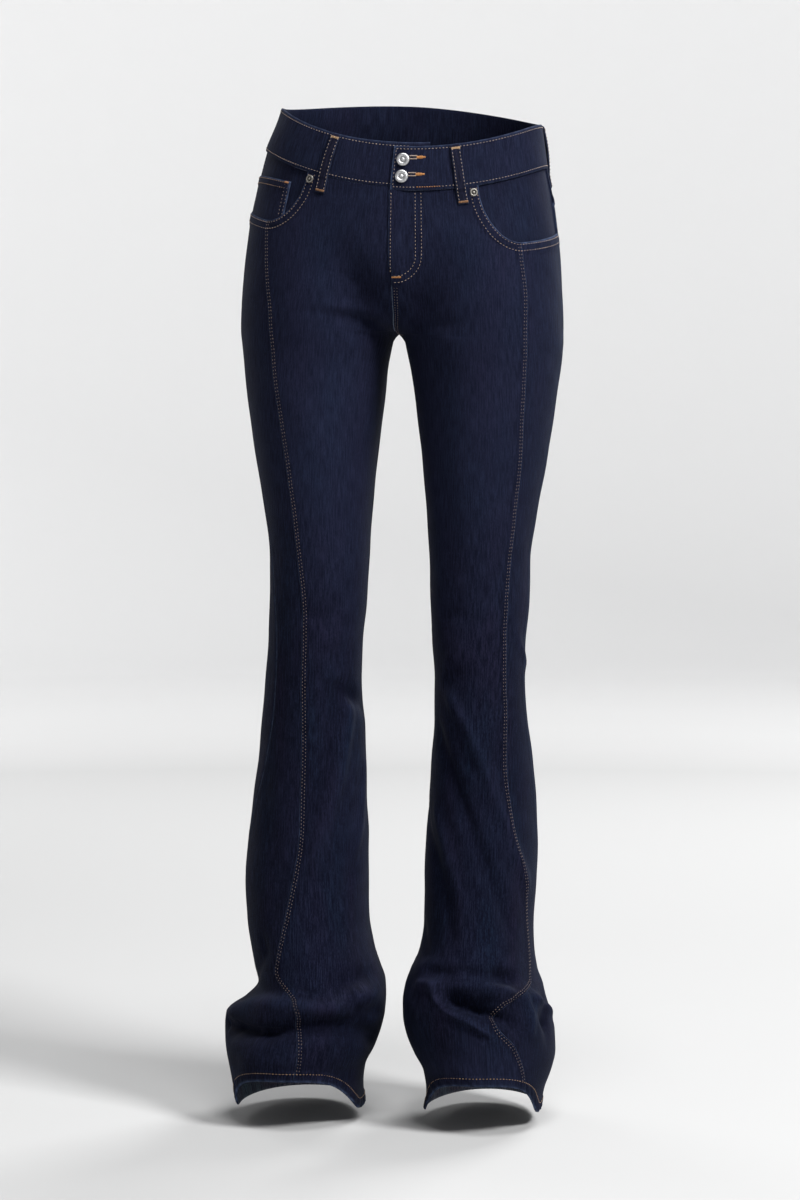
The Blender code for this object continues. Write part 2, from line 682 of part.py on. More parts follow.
def band_lift(around):
    """How far the band's outer face stands off: raised at the upper end, sunk at the tab."""
    over = 1 - smooth((around - OVER_FLAT) / (OVER_RAMP - OVER_FLAT))
    under = smooth((around - UNDER_RAMP) / (UNDER_FLAT - UNDER_RAMP))
    return BAND_PROUD + OVER_LIFT * over - UNDER_SINK * under


def waistband(finish):
    """The band as one strip with its ends lapped at the centre front."""
    start = np.linspace(OVER_END, OVER_RAMP, 9)
    middle = np.linspace(OVER_RAMP, UNDER_RAMP, 42)[1:-1]
    end = np.concatenate((np.linspace(UNDER_RAMP, UNDER_FLAT, 7), (2.02, 2.047, UNDER_END)))
    around = np.concatenate((start, middle, end))[None, :]
    top = BAND_TOP + TAB_STANDS * smooth((around - UNDER_RAMP) / (UNDER_FLAT - UNDER_RAMP))
    bottom = BAND_BOTTOM + SEAM_GAP / 2
    row = top + (bottom - top) * np.linspace(0, 1, 4)[:, None]
    points = whole_turn(around, row, band_lift(around) - BAND_WALL)
    return sheet_object("waistband", points, BAND_WALL, finish)


def belt_loop(number, turns, finish):
    """Strip over the band, sewn down above and below it."""
    row = np.array(LOOP_ROWS)[:, None] * MM
    fall = (row - row[0]) / (row[-1] - row[0])
    ends = whole_turn(turns[0] + np.array((-LOOP_REACH, LOOP_REACH)), np.full(2, LOOP_MIDDLE))
    half = LOOP_WIDTH * LOOP_REACH / np.linalg.norm(ends[1] - ends[0])
    around = turns[0] + (turns[1] - turns[0]) * fall + np.array((-half, 0, half))[None, :]
    on_band = smooth((row - BAND_BOTTOM + 6 * MM) / (5 * MM))
    arch = np.sin(np.pi * np.clip(row / BAND_BOTTOM, 0.0, 1.0)) * LOOP_ARCH
    seat = LAYER_GAP + band_lift(around) * on_band + arch
    points = whole_turn(around, row, seat)
    return sheet_object("belt_loop_%d" % number, points, LOOP_WALL, finish)


def standing_on(side, turn, row, lift):
    """Place and axis of a round piece that stands off the cloth by lift."""
    turn, row = np.array([turn]), np.array([row])
    foot = surface(side, turn, row, lift)[0]
    tip = surface(side, turn, row, lift + 1 * MM)[0]
    return foot, tip - foot


def main():
    """Clear the scene and build every piece."""
    for old in list(bpy.data.objects):
        bpy.data.objects.remove(old, do_unlink=True)
    group = bpy.data.collections.new(COLLECTION)
    bpy.context.scene.collection.children.link(group)

    denim = make_finish("denim", (0.012, 0.020, 0.060), 0.85, 0.0)
    denim_side = make_finish("denim_side_panels", (0.010, 0.017, 0.052), 0.85, 0.0)
    denim_trim = make_finish("denim_trim", (0.015, 0.024, 0.066), 0.85, 0.0)
    denim_inside = make_finish("denim_facing", (0.011, 0.017, 0.048), 0.88, 0.0)
    silver = make_finish("silver_metal", (0.55, 0.55, 0.56), 0.35, 1.0)
    nickel = make_finish("aged_nickel", (0.42, 0.41, 0.39), 0.40, 1.0)

    for side in (RIGHT, LEFT):
        front_centre(side, denim)
        front_side(side, denim_side)
        back(side, denim)
        yoke(side, denim_side)
        facing(side, denim_inside)
        back_pocket(side, denim_trim)
        place, axis = standing_on(side, RIVET_TURNS[side], RIVET_ROW, SEAM_GAP)
        turned_object("rivet_" + SIDE_NAMES[side], RIVET_PROFILE, place, axis, nickel)
    coin_pocket(denim_trim)
    waistband(denim_trim)
    for number, turns in enumerate(LOOP_TURNS, start=1):
        belt_loop(number, turns, denim_trim)
    for name, row in BUTTON_ROWS.items():
        on_top = BAND_PROUD + OVER_LIFT + SEAM_GAP
        place, axis = standing_on(LEFT, BUTTON_TURN, row, on_top)
        turned_object(name, BUTTON_PROFILE, place, axis, silver)


if __name__ == "__main__":
    main()
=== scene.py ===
"""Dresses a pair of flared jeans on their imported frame: denim panels, sewing, buttons and studio.

Every panel is a thin shell on one surface of two parameters. turn is the way round one half: 0 at the
centre front seam or inseam, 0.5 at the outermost point, 1 at the centre back or inseam again. row is
the height that a thread across the cloth has on the hip. Lengths are metres; tables are millimetres.
"""

import logging
import math
from dataclasses import dataclass, field
from enum import Enum
from typing import Callable

import bpy
import numpy as np
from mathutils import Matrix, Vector


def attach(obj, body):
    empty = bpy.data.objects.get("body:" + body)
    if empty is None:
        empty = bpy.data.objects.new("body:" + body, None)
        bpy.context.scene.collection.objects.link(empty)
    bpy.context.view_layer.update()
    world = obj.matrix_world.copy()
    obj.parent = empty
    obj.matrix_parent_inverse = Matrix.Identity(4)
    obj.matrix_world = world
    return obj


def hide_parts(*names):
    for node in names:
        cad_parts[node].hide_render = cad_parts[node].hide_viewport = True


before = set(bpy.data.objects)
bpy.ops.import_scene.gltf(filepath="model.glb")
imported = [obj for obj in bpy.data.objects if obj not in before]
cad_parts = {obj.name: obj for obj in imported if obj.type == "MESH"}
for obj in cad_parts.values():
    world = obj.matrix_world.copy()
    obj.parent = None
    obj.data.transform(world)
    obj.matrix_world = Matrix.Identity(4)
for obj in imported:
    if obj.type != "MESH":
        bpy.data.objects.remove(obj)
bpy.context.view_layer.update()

LOG = logging.getLogger("jeans")
MM = 0.001
BODY = "root"
INNER_WEAR = 0.5
Array = np.ndarray
Place = Callable[[Array, Array], tuple[Array, Array]]
Material, Mesh, Piece, Socket = bpy.types.Material, bpy.types.Mesh, bpy.types.Object, bpy.types.NodeSocket


class Worded(Enum):
    """Options whose names are parts of pieces' names."""

    @property
    def word(self) -> str:
        """The option's word in names."""
        return self.name.lower()


class Side(Worded):
    """The wearer's side, with the sign of its x."""

    RIGHT = -1
    LEFT = 1


class Slot(Enum):
    """Material slots of the record."""

    DENIM = "denim"
    SIDE = "denim_side_panels"
    TRIM = "denim_trim"
    FACING = "denim_facing"
    SILVER = "silver_metal"
    NICKEL = "aged_nickel"


# Share of a painted highlight over each foot, strong on the wearer's left.
INSTEP_HIGHLIGHT = {Side.RIGHT: 0.10, Side.LEFT: 0.80}


# ---- the worn form

def ease(value: Array) -> Array:
    """3v² - 2v³ of a value held to 0..1: a step with level ends."""
    value = np.clip(value, 0.0, 1.0)
    return value * value * (3 - 2 * value)


def curve_through(known: Array, values: Array, at: Array) -> Array:
    """Monotone cubic curve: Hermite spans whose slopes are the harmonic means of their neighbours'.

    Args:
        known: rising positions.
        values: the curve's values there.
        at: positions to read.

    Returns:
        The values at those positions, held level past the ends.
    """
    step = np.diff(known)
    slope = np.diff(values) / step
    before, after = slope[:-1], slope[1:]
    total = np.where(before * after > 0, before + after, 1.0)
    inner = np.where(before * after > 0, 2 * before * after / total, 0.0)
    tangent = np.concatenate((slope[:1], inner, slope[-1:]))
    at = np.clip(at, known[0], known[-1])
    span = np.clip(np.searchsorted(known, at, side="right") - 1, 0, len(step) - 1)
    t = (at - known[span]) / step[span]
    rest = 1 - t
    ends = values[span] * rest * rest * (1 + 2 * t) + values[span + 1] * t * t * (3 - 2 * t)
    bends = tangent[span] * rest * rest * t - tangent[span + 1] * t * t * rest
    return ends + bends * step[span]


@dataclass
class WornForm:
    """The surface that all panels are cut from, in the pose that the jeans are worn in.

    Tables are in millimetres, from the top down. hip_rows: (level, seam x, right, left, front, back,
    exponent). Leg rows: (level, inner, outer, front, back). seam_rows: (row, long seam right, left,
    side seam right, left) as turns. Folds: (side, turn, level, rise, length, width, tilt in degrees).
    """

    crotch: float = -0.239
    band_bottom: float = -0.047
    break_top: float = -0.900
    hem: float = -1.095
    front_dip: float = 0.036
    back_rise: float = 0.016
    hem_climb: float = 0.044
    hem_ease: float = 0.12
    hem_arch: float = 0.205
    left_drop: float = 0.0035
    front_join: float = 0.085
    back_join: float = 0.115
    wide_join: float = 0.050
    curved_turn: float = 0.10
    curved_power: float = 2.4
    thigh_lean: float = 0.50
    lean_none: float = -0.560
    notch_half: float = 6.0
    notch_deep: float = 0.004
    notch_turn: float = 0.07
    hip_roll: float = math.tan(math.radians(3.5))
    roll_full: float = -0.200
    roll_none: float = -0.450
    half_gap: float = 0.1 * MM
    waver: float = 0.35 * MM
    slope_turn: float = 0.002
    slope_row: float = 0.5 * MM
    hip_rows: tuple = (
        (60, 0, -136, 136, -96, 95, 2.1), (0, 0, -142, 142, -100, 100, 2.1),
        (-47, -5, -160, 148, -104, 109, 2.15), (-90, -8.5, -171, 156, -107, 118, 2.25),
        (-134, -9, -179.5, 161.5, -108, 124, 2.4), (-178, -9.5, -185, 164.5, -106, 125, 2.5),
        (-215, -11, -188.5, 166, -101.5, 120, 2.6), (-239, -15, -189, 166.5, -98, 113, 2.6),
    )
    right_rows: tuple = (
        (-245, -21.5, -189, -97, 111), (-256, -23.5, -188, -95.5, 108), (-280, -27.5, -185.5, -92, 101.5),
        (-311, -30.5, -182, -88, 95), (-377, -38.5, -172, -81, 84), (-444, -44.5, -161, -74, 74),
        (-488, -47, -157, -69, 67), (-532, -49.5, -157.5, -65, 62), (-576, -54, -159, -62, 59),
        (-620, -56, -162.5, -60, 60), (-665, -53, -167, -59, 65.5), (-709, -52, -171.5, -60, 74),
        (-753, -51.5, -178, -63, 82), (-797, -49.5, -183, -67, 88), (-841, -49.5, -187, -72, 92),
        (-886, -48.5, -184.5, -80, 94), (-919, -42.5, -178.5, -88, 94), (-941, -35, -174, -95, 94),
        (-957, -29.5, -170.5, -101, 93), (-974, -28.5, -184, -110, 96), (-991, -29.5, -205.5, -116, 101),
        (-1007, -33, -207.5, -118, 104), (-1029, -41, -205.5, -117, 103), (-1051, -51.5, -201.5, -116, 100),
        (-1073, -54, -197, -116, 98), (-1098, -52, -191, -117, 97),
    )
    left_rows: tuple = (
        (-245, -8, 166, -97, 111), (-256, -5.5, 165, -95.5, 108), (-280, 0, 162, -92, 101.5),
        (-311, 4.5, 158, -88, 95), (-377, 12.5, 148.5, -81, 84), (-444, 18, 137, -74, 74),
        (-488, 20.5, 131.5, -69, 67), (-532, 21.5, 131, -65, 62), (-576, 23.5, 126.5, -62, 59),
        (-620, 26, 125.5, -60, 60), (-665, 25.5, 128.5, -59, 65.5), (-709, 22, 134, -60, 74),
        (-753, 19, 137.5, -63, 82), (-797, 15.5, 139, -67, 88), (-841, 14, 138, -72, 92),
        (-886, 14, 135, -80, 94), (-919, 9, 136.5, -90, 94), (-941, 0, 140, -100, 95),
        (-957, -5.5, 147, -110, 97), (-974, -8, 151.5, -116, 99), (-991, -7.5, 156, -118, 101),
        (-1007, -4.5, 159.5, -118, 103), (-1029, 4, 160.5, -117, 103), (-1051, 15.5, 156, -116, 101),
        (-1073, 19, 148.5, -116, 99), (-1098, 16, 144, -117, 97),
    )
    seam_rows: tuple = (
        (-47, 0.292, 0.272, 0.50, 0.50), (-120, 0.290, 0.274, 0.50, 0.50), (-150, 0.280, 0.277, 0.50, 0.50),
        (-190, 0.264, 0.282, 0.50, 0.50), (-228, 0.252, 0.281, 0.50, 0.50), (-264, 0.248, 0.284, 0.50, 0.50),
        (-317, 0.252, 0.298, 0.486, 0.50), (-370, 0.260, 0.325, 0.467, 0.495),
        (-424, 0.274, 0.350, 0.447, 0.49), (-480, 0.285, 0.366, 0.414, 0.485),
        (-530, 0.278, 0.362, 0.392, 0.48), (-592, 0.270, 0.370, 0.370, 0.48),
        (-640, 0.266, 0.370, 0.366, 0.48), (-714, 0.258, 0.350, 0.392, 0.48),
        (-780, 0.252, 0.368, 0.440, 0.49), (-818, 0.256, 0.400, 0.480, 0.51),
        (-870, 0.278, 0.440, 0.50, 0.53), (-925, 0.320, 0.455, 0.50, 0.54), (-950, 0.336, 0.440, 0.49, 0.52),
        (-965, 0.325, 0.400, 0.485, 0.495), (-988, 0.280, 0.335, 0.47, 0.50),
        (-1009, 0.250, 0.318, 0.455, 0.51), (-1038, 0.234, 0.348, 0.430, 0.52),
        (-1066, 0.229, 0.364, 0.412, 0.53), (-1095, 0.227, 0.380, 0.405, 0.53),
    )
    folds: tuple = (
        (0, 0.78, -160, 7, 55, 55, 0), (0, 0.77, -262, -4, 55, 14, 6), (0, 0.74, -588, -4, 40, 12, 12),
        (0, 0.70, -622, -3.5, 38, 12, -12), (-1, 0.36, -995, -11, 48, 14, 0),
        (-1, 0.10, -984, -9, 42, 13, 12), (-1, 0.13, -946, -6, 42, 11, -5), (-1, 0.15, -965, 5, 55, 12, 0),
        (-1, 0.76, -962, 6, 60, 14, 8), (-1, 0.72, -992, -8, 60, 14, -5), (1, 0.20, -932, 6, 62, 11, -2),
        (1, 0.26, -958, -12, 40, 14, -20), (1, 0.42, -978, 5, 18, 12, 60), (1, 0.74, -950, 6, 55, 14, -8),
        (1, 0.79, -984, -8, 60, 14, 6),
    )
    creases: tuple = (
        # under and beside the fly
        (-1, 0.07, -190, -1.2, 24, 6, 34), (-1, 0.102, -214, 2.2, 15, 7, -4),
        (-1, 0.053, -215, 2.2, 14, 7, 10), (-1, 0.08, -228, -3, 15, 6, 10),
        (-1, 0.044, -234, -3.2, 14, 6, 22), (-1, 0.145, -222, -1.4, 22, 7, 4),
        (-1, 0.095, -250, 1.2, 18, 8, 8), (-1, 0.051, -255, 1.2, 24, 8, 8), (1, 0.06, -205, -1, 20, 9, -24),
        (1, 0.11, -216, 1, 28, 8, 24), (1, 0.09, -232, -1.2, 30, 7, 16), (1, 0.17, -246, 0.8, 34, 9, 10),
        # across the hips below the band
        (-1, 0.12, -92, -0.9, 40, 9, -8), (1, 0.1, -100, -1, 44, 9, 6), (1, 0.16, -124, 0.8, 36, 10, 10),
        # thighs and knees
        (-1, 0.2, -330, 1.2, 60, 16, 62), (-1, 0.12, -405, -1.3, 55, 13, -70),
        (-1, 0.22, -548, -1.4, 30, 9, 14), (-1, 0.14, -572, 1.3, 28, 9, -12),
        (-1, 0.111, -630, -4.2, 18, 10, 33), (-1, 0.031, -645, -4.2, 24, 10, 23),
        (-1, 0.18, -606, 1.6, 26, 9, 30), (1, 0.19, -318, 1.2, 56, 15, 58),
        (1, 0.13, -420, -1.4, 52, 13, -66), (1, 0.22, -548, -1.4, 30, 9, -14), (1, 0.155, -595, 2, 12, 8, 56),
        (1, 0.19, -582, 2, 12, 8, 39), (1, 0.17, -616, -1.6, 16, 8, 30), (1, 0.469, -590, 2.2, 27, 6, -44),
        (1, 0.4, -556, 1.2, 26, 8, -60),
        # the slanting ridges and troughs of the calves
        (-1, 0.106, -662, 4.4, 24, 8.5, -78), (-1, 0.131, -707, 4.6, 26, 8.5, -78),
        (-1, 0.164, -757, 4.6, 31, 8.5, -73), (-1, 0.2, -805, 3.8, 24, 8.5, -72),
        (-1, 0.153, -653, -3.2, 28, 9, -79), (-1, 0.18, -703, -3.6, 28, 9, -78),
        (-1, 0.213, -752, -3.6, 28, 9, -73), (-1, 0.246, -796, -3.2, 22, 9, -73),
        (-1, 0.031, -733, 2.6, 25, 8, -78), (-1, 0.062, -781, 2.6, 31, 8, -70),
        (-1, 0.3, -860, -2, 24, 8, -64), (-1, 0.34, -780, -1.4, 60, 12, 74), (-1, 0.12, -850, -2, 30, 9, -60),
        (1, 0.182, -648, 4.4, 23, 8.5, -55), (1, 0.243, -684, 4.6, 22, 8.5, -65),
        (1, 0.29, -724, 4.6, 26, 8.5, -70), (1, 0.337, -772, 4.4, 30, 8.5, -68),
        (1, 0.395, -822, 4.2, 31, 8.5, -57), (1, 0.118, -688, -4, 26, 9, -57),
        (1, 0.179, -730, -4.4, 26, 9, -65), (1, 0.233, -775, -4.4, 28, 9, -66),
        (1, 0.288, -823, -4.2, 30, 9, -66), (1, 0.345, -870, -3.8, 28, 9, -61),
        (1, 0.126, -772, 3.4, 22, 8, -61), (1, 0.174, -812, 3.4, 28, 8, -65),
        (1, 0.214, -853, 3.2, 20, 8, -72), (1, 0.071, -784, -3, 34, 8, -48), (1, 0.142, -832, -3, 31, 8, -66),
        (1, 0.182, -879, -3, 24, 8, -75), (1, 0.086, -905, -2, 26, 9, -44),
        # the break over the foot
        (-1, 0.416, -979, 6, 23, 9, -19), (-1, 0.336, -970, 6.5, 26, 9, -4), (-1, 0.244, -971, 6, 21, 9, 6),
        (-1, 0.158, -978, 4.5, 25, 8, 12), (-1, 0.074, -989, 4, 27, 8, 16),
        (-1, 0.371, -1000, -12, 30, 11, -2), (-1, 0.285, -996, -13, 24, 11, -11),
        (-1, 0.22, -992, -12, 20, 11, -1), (-1, 0.158, -994, -11, 23, 10, 13),
        (-1, 0.076, -1007, -9, 39, 10, 16), (-1, 0.436, -1003, -9, 20, 10, 8),
        (-1, 0.239, -959, -3.5, 19, 8, 6), (-1, 0.162, -961, -3.5, 19, 8, 3),
        (-1, 0.331, -1030, 2.4, 24, 10, -13), (-1, 0.255, -1026, 2.4, 22, 10, -8),
        (-1, 0.357, -909, -2.4, 12, 7, 87), (-1, 0.416, -940, -2.6, 40, 7, -34),
        (-1, 0.12, -1046, -1.8, 30, 9, 14), (1, 0.155, -947, 7.5, 23, 6, 4), (1, 0.242, -946, 7.5, 23, 6, -4),
        (1, 0.329, -950, 7.5, 22, 6, -9), (1, 0.179, -932, -8, 24, 7, 4), (1, 0.265, -931, -8, 22, 7, -4),
        (1, 0.345, -936, -8, 19, 7, -14), (1, 0.226, -962, -11, 17, 6.5, -12),
        (1, 0.28, -968, -12, 18, 7, -14), (1, 0.33, -978, -10, 14, 7, -30), (1, 0.176, -954, 5, 10, 5, -61),
        (1, 0.198, -965, 5, 13, 5, -35), (1, 0.233, -975, 6, 15, 4.5, -25), (1, 0.272, -986, 6, 17, 4.5, -32),
        (1, 0.398, -968, 5.2, 12, 5, -86), (1, 0.395, -988, 5.2, 13, 5, 87),
        (1, 0.36, -970, -4.6, 12, 5.5, 63), (1, 0.357, -987, -4.6, 11, 5.5, -72),
        (1, 0.455, -990, -3, 26, 8, 70), (1, 0.462, -973, 4.5, 36, 5, -28), (1, 0.44, -988, -4.5, 16, 8, -40),
        (1, 0.2, -1034, 1.6, 36, 10, -10),
        # the hidden sides
        (-1, 0.88, -236, -2.2, 34, 8, 24), (-1, 0.8, -290, -1.6, 50, 10, 14),
        (-1, 0.86, -320, 1.2, 44, 10, 20), (1, 0.87, -242, -2, 36, 8, 26), (1, 0.79, -300, -1.6, 48, 10, 12),
        (1, 0.66, -336, 1.1, 44, 11, -16), (-1, 0.8, -560, -2.4, 36, 9, 16), (-1, 0.68, -640, 2, 34, 9, 12),
        (-1, 0.84, -612, 2.2, 30, 9, -18), (1, 0.82, -566, -2.4, 34, 9, 18), (1, 0.7, -652, 2, 36, 9, -14),
        (1, 0.64, -600, -2, 30, 8, 8), (-1, 0.74, -592, 1.8, 26, 9, -6), (1, 0.76, -618, -2, 28, 8, 4),
        (-1, 0.7, -760, 2.4, 70, 12, 70), (-1, 0.84, -850, -2.6, 60, 11, -66),
        (-1, 0.62, -840, 2, 54, 11, -72), (1, 0.74, -790, 2.4, 72, 12, -72),
        (1, 0.62, -860, -2.6, 56, 11, 60), (1, 0.86, -830, 2.2, 58, 11, 64),
        (-1, 0.62, -1010, 3.6, 44, 9, 12), (-1, 0.84, -1024, -3.6, 42, 9, -8),
        (-1, 0.74, -1036, 2.6, 40, 9, 6), (-1, 0.9, -968, 3.2, 28, 8, -20), (1, 0.66, -1016, 3.6, 46, 9, -10),
        (1, 0.86, -1008, -3.6, 40, 9, 14), (1, 0.76, -1034, 2.4, 38, 9, -8), (1, 0.92, -962, 3, 30, 8, 20),
        (1, 0.58, -972, -3.2, 30, 8, -14),
    )

    def __post_init__(self) -> None:
        """Join the hip's and the legs' tables, lowest level first, and measure each fold's girth."""
        self.tables = {}
        for side, legs, outline in ((Side.RIGHT, self.right_rows, 2), (Side.LEFT, self.left_rows, 3)):
            off = side.value * self.notch_half
            hip = [(r[0], r[1], r[1] + off, r[outline], r[4], r[5], r[6]) for r in self.hip_rows]
            last = self.hip_rows[-1]
            leg = [(r[0], last[1], *r[1:], last[6]) for r in legs]
            self.tables[side] = np.array((hip + leg)[::-1], dtype=float)
        self.seams = np.array(self.seam_rows[::-1], dtype=float)
        self.bells = {side: self._bells(side) for side in Side}

    def _bells(self, side: Side) -> list[tuple]:
        """Folds of one side in metres and radians, each with its level's girth.

        Args:
            side: the wearer's side.

        Returns:
            Rows of (turn, level, rise, length, width, tilt, girth).
        """
        found = []
        for which, turn, level, rise, length, width, tilt in self.folds + self.creases:
            if which in (0, side.value):
                sizes = (k * MM for k in (level, rise, length, width))
                found.append((turn, *sizes, math.radians(tilt), 2 * self.girth(side, level * MM)))
        return found

    def read(self, side: Side, column: int, level: Array) -> Array:
        """Column of a half's section table at heights in metres, in metres (a plain number for 6).

        Args:
            side: the wearer's side.
            column: 1 seam, 2 inner, 3 outer, 4 front, 5 back, 6 exponent.
            level: heights.

        Returns:
            The column's values.
        """
        table = self.tables[side]
        found = curve_through(table[:, 0] * MM, table[:, column], level)
        return found if column == 6 else found * MM

    def girth(self, side: Side, level: float) -> float:
        """Half the length round one half, quarter or half of 2π√((a² + b²)/2) of its section.

        Args:
            side: the wearer's side.
            level: height.

        Returns:
            The length in metres.
        """
        at = np.array([level])
        inner, outer, front, back = (float(self.read(side, k, at)[0]) for k in (2, 3, 4, 5))
        reach = abs(outer - inner) if level > self.crotch else abs(outer - inner) / 2
        quarter = math.pi / 2 * math.sqrt((reach ** 2 + ((back - front) / 2) ** 2) / 2)
        return quarter if level > self.crotch else 2 * quarter

    def level(self, side: Side, turn: Array, row: Array) -> Array:
        """Height of a thread: row + waist wave·share above the crotch + hem climb·share at the break.

        Args:
            side: the wearer's side.
            turn: way round.
            row: height on the hip.

        Returns:
            Heights in metres.
        """
        above = np.clip((row - self.crotch) / (self.band_bottom - self.crotch), 0.0, 1.0)
        below = np.clip((self.break_top - row) / (self.break_top - self.hem), 0.0, 1.0)
        wave = (1 + np.cos(2 * np.pi * turn)) / 2
        waist = np.where(np.abs(turn) < 0.5, -self.front_dip, self.back_rise) * wave
        if side is Side.LEFT:
            waist = waist - self.left_drop * (1 - turn ** 2)
        climb = 1 - np.abs(((turn + 0.25) % 1.0 - 0.5) / self.hem_arch) ** 3
        hem = self.hem_climb * self.hem_ease * np.log1p(np.exp(climb / self.hem_ease))
        return row + waist * above + hem * below

    def bare(self, side: Side, turn: Array, row: Array) -> Array:
        """Surface without folds: a leg's ellipse and the hip's superellipse, mixed over the join.

        The leg is x = middle - half·cos(a), y = middle - half·sin(a), a = 2π·turn + lean·sin(2π·turn).
        The hip is x = seam + reach·sin(π·turn)/f, y = middle - depth·cos(π·turn)/f with
        f = (|sin|^p + |cos|^p)^(1/p). The share of the hip climbs from 0 at the crotch.

        Args:
            side: the wearer's side.
            turn: way round.
            row: height on the hip.

        Returns:
            Points, last axis x, y and level.
        """
        level = self.level(side, turn, row)
        seam, inner, outer, front, back, power = (self.read(side, k, level) for k in (1, 2, 3, 4, 5, 6))
        mid_y, half_y = (front + back) / 2, (back - front) / 2
        off_seam = np.minimum(np.abs(turn), np.abs(1 - turn))
        below = np.maximum(self.crotch - level, 0.0) / self.notch_deep
        closed = np.exp(-(off_seam / self.notch_turn) ** 2 - below ** 2)
        lean = self.thigh_lean * ease((level - self.lean_none) / (self.crotch - self.lean_none))
        angle = 2 * np.pi * turn + lean * np.sin(2 * np.pi * turn)
        leg_x = (inner + outer) / 2 - (outer - inner) / 2 * np.cos(angle) + (seam - inner) * closed
        leg_y = mid_y - half_y * np.sin(angle)
        sine, cosine = np.sin(np.pi * turn), np.cos(np.pi * turn)
        full = (np.abs(sine) ** power + np.abs(cosine) ** power) ** (1 / power)
        hip_x = seam + (outer - seam) * sine / full
        hip_y = mid_y - half_y * cosine / full
        at_seam = np.exp(-(off_seam / self.curved_turn) ** 2)
        height = self.front_join + (self.back_join - self.front_join) * ease(turn)
        height = height + self.wide_join * (1 - at_seam)
        climbed = np.clip((level - self.crotch) / height, 0.0, 1.0)
        curved = (1 - (1 - climbed) ** self.curved_power) ** (1 / self.curved_power)
        share = ease(climbed) + (curved - ease(climbed)) * at_seam
        x = leg_x + (hip_x - leg_x) * share + side.value * self.half_gap
        return np.stack((x, leg_y + (hip_y - leg_y) * share, level), axis=-1)

    def rise(self, side: Side, turn: Array, level: Array) -> Array:
        """Sum of the folds, each rise·exp(-(across/width)² - (along/length)⁴), and a slow waver.

        Args:
            side: the wearer's side.
            turn: way round.
            level: heights.

        Returns:
            How far the cloth stands off the bare surface.
        """
        total = self.waver * np.sin(9.7 * np.pi * turn + 61 * level) * np.sin(43 * level + 5 * turn)
        for at_turn, at_level, rise, length, width, tilt, girth in self.bells[side]:
            off = turn - at_turn
            if at_level < self.crotch:
                off = (off + 0.5) % 1.0 - 0.5
            along, up = off * girth, level - at_level
            down_line = along * math.cos(tilt) + up * math.sin(tilt)
            across = up * math.cos(tilt) - along * math.sin(tilt)
            total = total + rise * np.exp(-(across / width) ** 2 - (down_line / length) ** 4)
        return total

    def normal(self, side: Side, turn: Array, row: Array, shape: Callable) -> Array:
        """Unit cross product of a shape's slopes round and down.

        Args:
            side: the wearer's side.
            turn: way round.
            row: height on the hip.
            shape: function of (side, turn, row) to points.

        Returns:
            Outward unit vectors.
        """
        step, drop = self.slope_turn, self.slope_row
        round_it = shape(side, turn + step, row) - shape(side, turn - step, row)
        down_it = shape(side, turn, row - drop) - shape(side, turn, row + drop)
        found = np.cross(round_it, down_it) * -side.value
        return found / np.linalg.norm(found, axis=-1, keepdims=True)

    def folded(self, side: Side, turn: Array, row: Array) -> Array:
        """The bare surface moved out by its folds.

        Args:
            side: the wearer's side.
            turn: way round.
            row: height on the hip.

        Returns:
            Points before the pelvis leans.
        """
        points = self.bare(side, turn, row)
        rise = self.rise(side, turn, points[..., 2])
        return points + self.normal(side, turn, row, self.bare) * rise[..., None]

    def place(self, side: Side, turn: Array, row: Array) -> tuple[Array, Array]:
        """Outer face of the cloth: folded points, then z less (x - seam)·lean of the pelvis.

        Args:
            side: the wearer's side.
            turn: way round.
            row: height on the hip.

        Returns:
            Points and the directions in which cloth is lifted off them.
        """
        turn, row = np.broadcast_arrays(np.asarray(turn, dtype=float), np.asarray(row, dtype=float))
        points = self.folded(side, turn, row)
        normals = self.normal(side, turn, row, self.folded)
        roll = self.hip_roll * ease((points[..., 2] - self.roll_none) / (self.roll_full - self.roll_none))
        points[..., 2] -= (points[..., 0] - self.read(side, 1, points[..., 2])) * roll
        normals[..., 2] -= normals[..., 0] * roll
        return points, normals

    def half(self, side: Side) -> Place:
        """Place function of one half."""
        return lambda turn, row: self.place(side, turn, row)

    def net(self, side: Side, turn: Array, row: Array) -> "Net":
        """Net of a grid on one half, whose columns run the other way round on the right."""
        return net_over(self.half(side), turn, row, side is Side.RIGHT)

    def waist(self, around: Array, row: Array) -> tuple[Array, Array]:
        """Place function above the crotch with one turn for both halves: 0 to 1 left, 1 to 2 right.

        Args:
            around: way round, past 0 or 2 where an end laps over.
            row: height on the hip.

        Returns:
            Points and lift directions.
        """
        around, row = np.broadcast_arrays(around, row)
        left = self.place(Side.LEFT, np.minimum(around, 1.0), row)
        right = self.place(Side.RIGHT, 2 - np.maximum(around, 1.0), row)
        on_left = (around <= 1)[..., None]
        return np.where(on_left, left[0], right[0]), np.where(on_left, left[1], right[1])

    def long_seam(self, side: Side, row: Array) -> Array:
        """Turn of the seam down the front of a leg at each row."""
        return self.seam(1 if side is Side.RIGHT else 2, row)

    def side_seam(self, side: Side, row: Array) -> Array:
        """Turn of the side seam at each row."""
        return self.seam(3 if side is Side.RIGHT else 4, row)

    def seam(self, column: int, row: Array) -> Array:
        """Turns of one column of the seams' table at each row."""
        return curve_through(self.seams[:, 0] * MM, self.seams[:, column], row)


# ---- cloth pieces

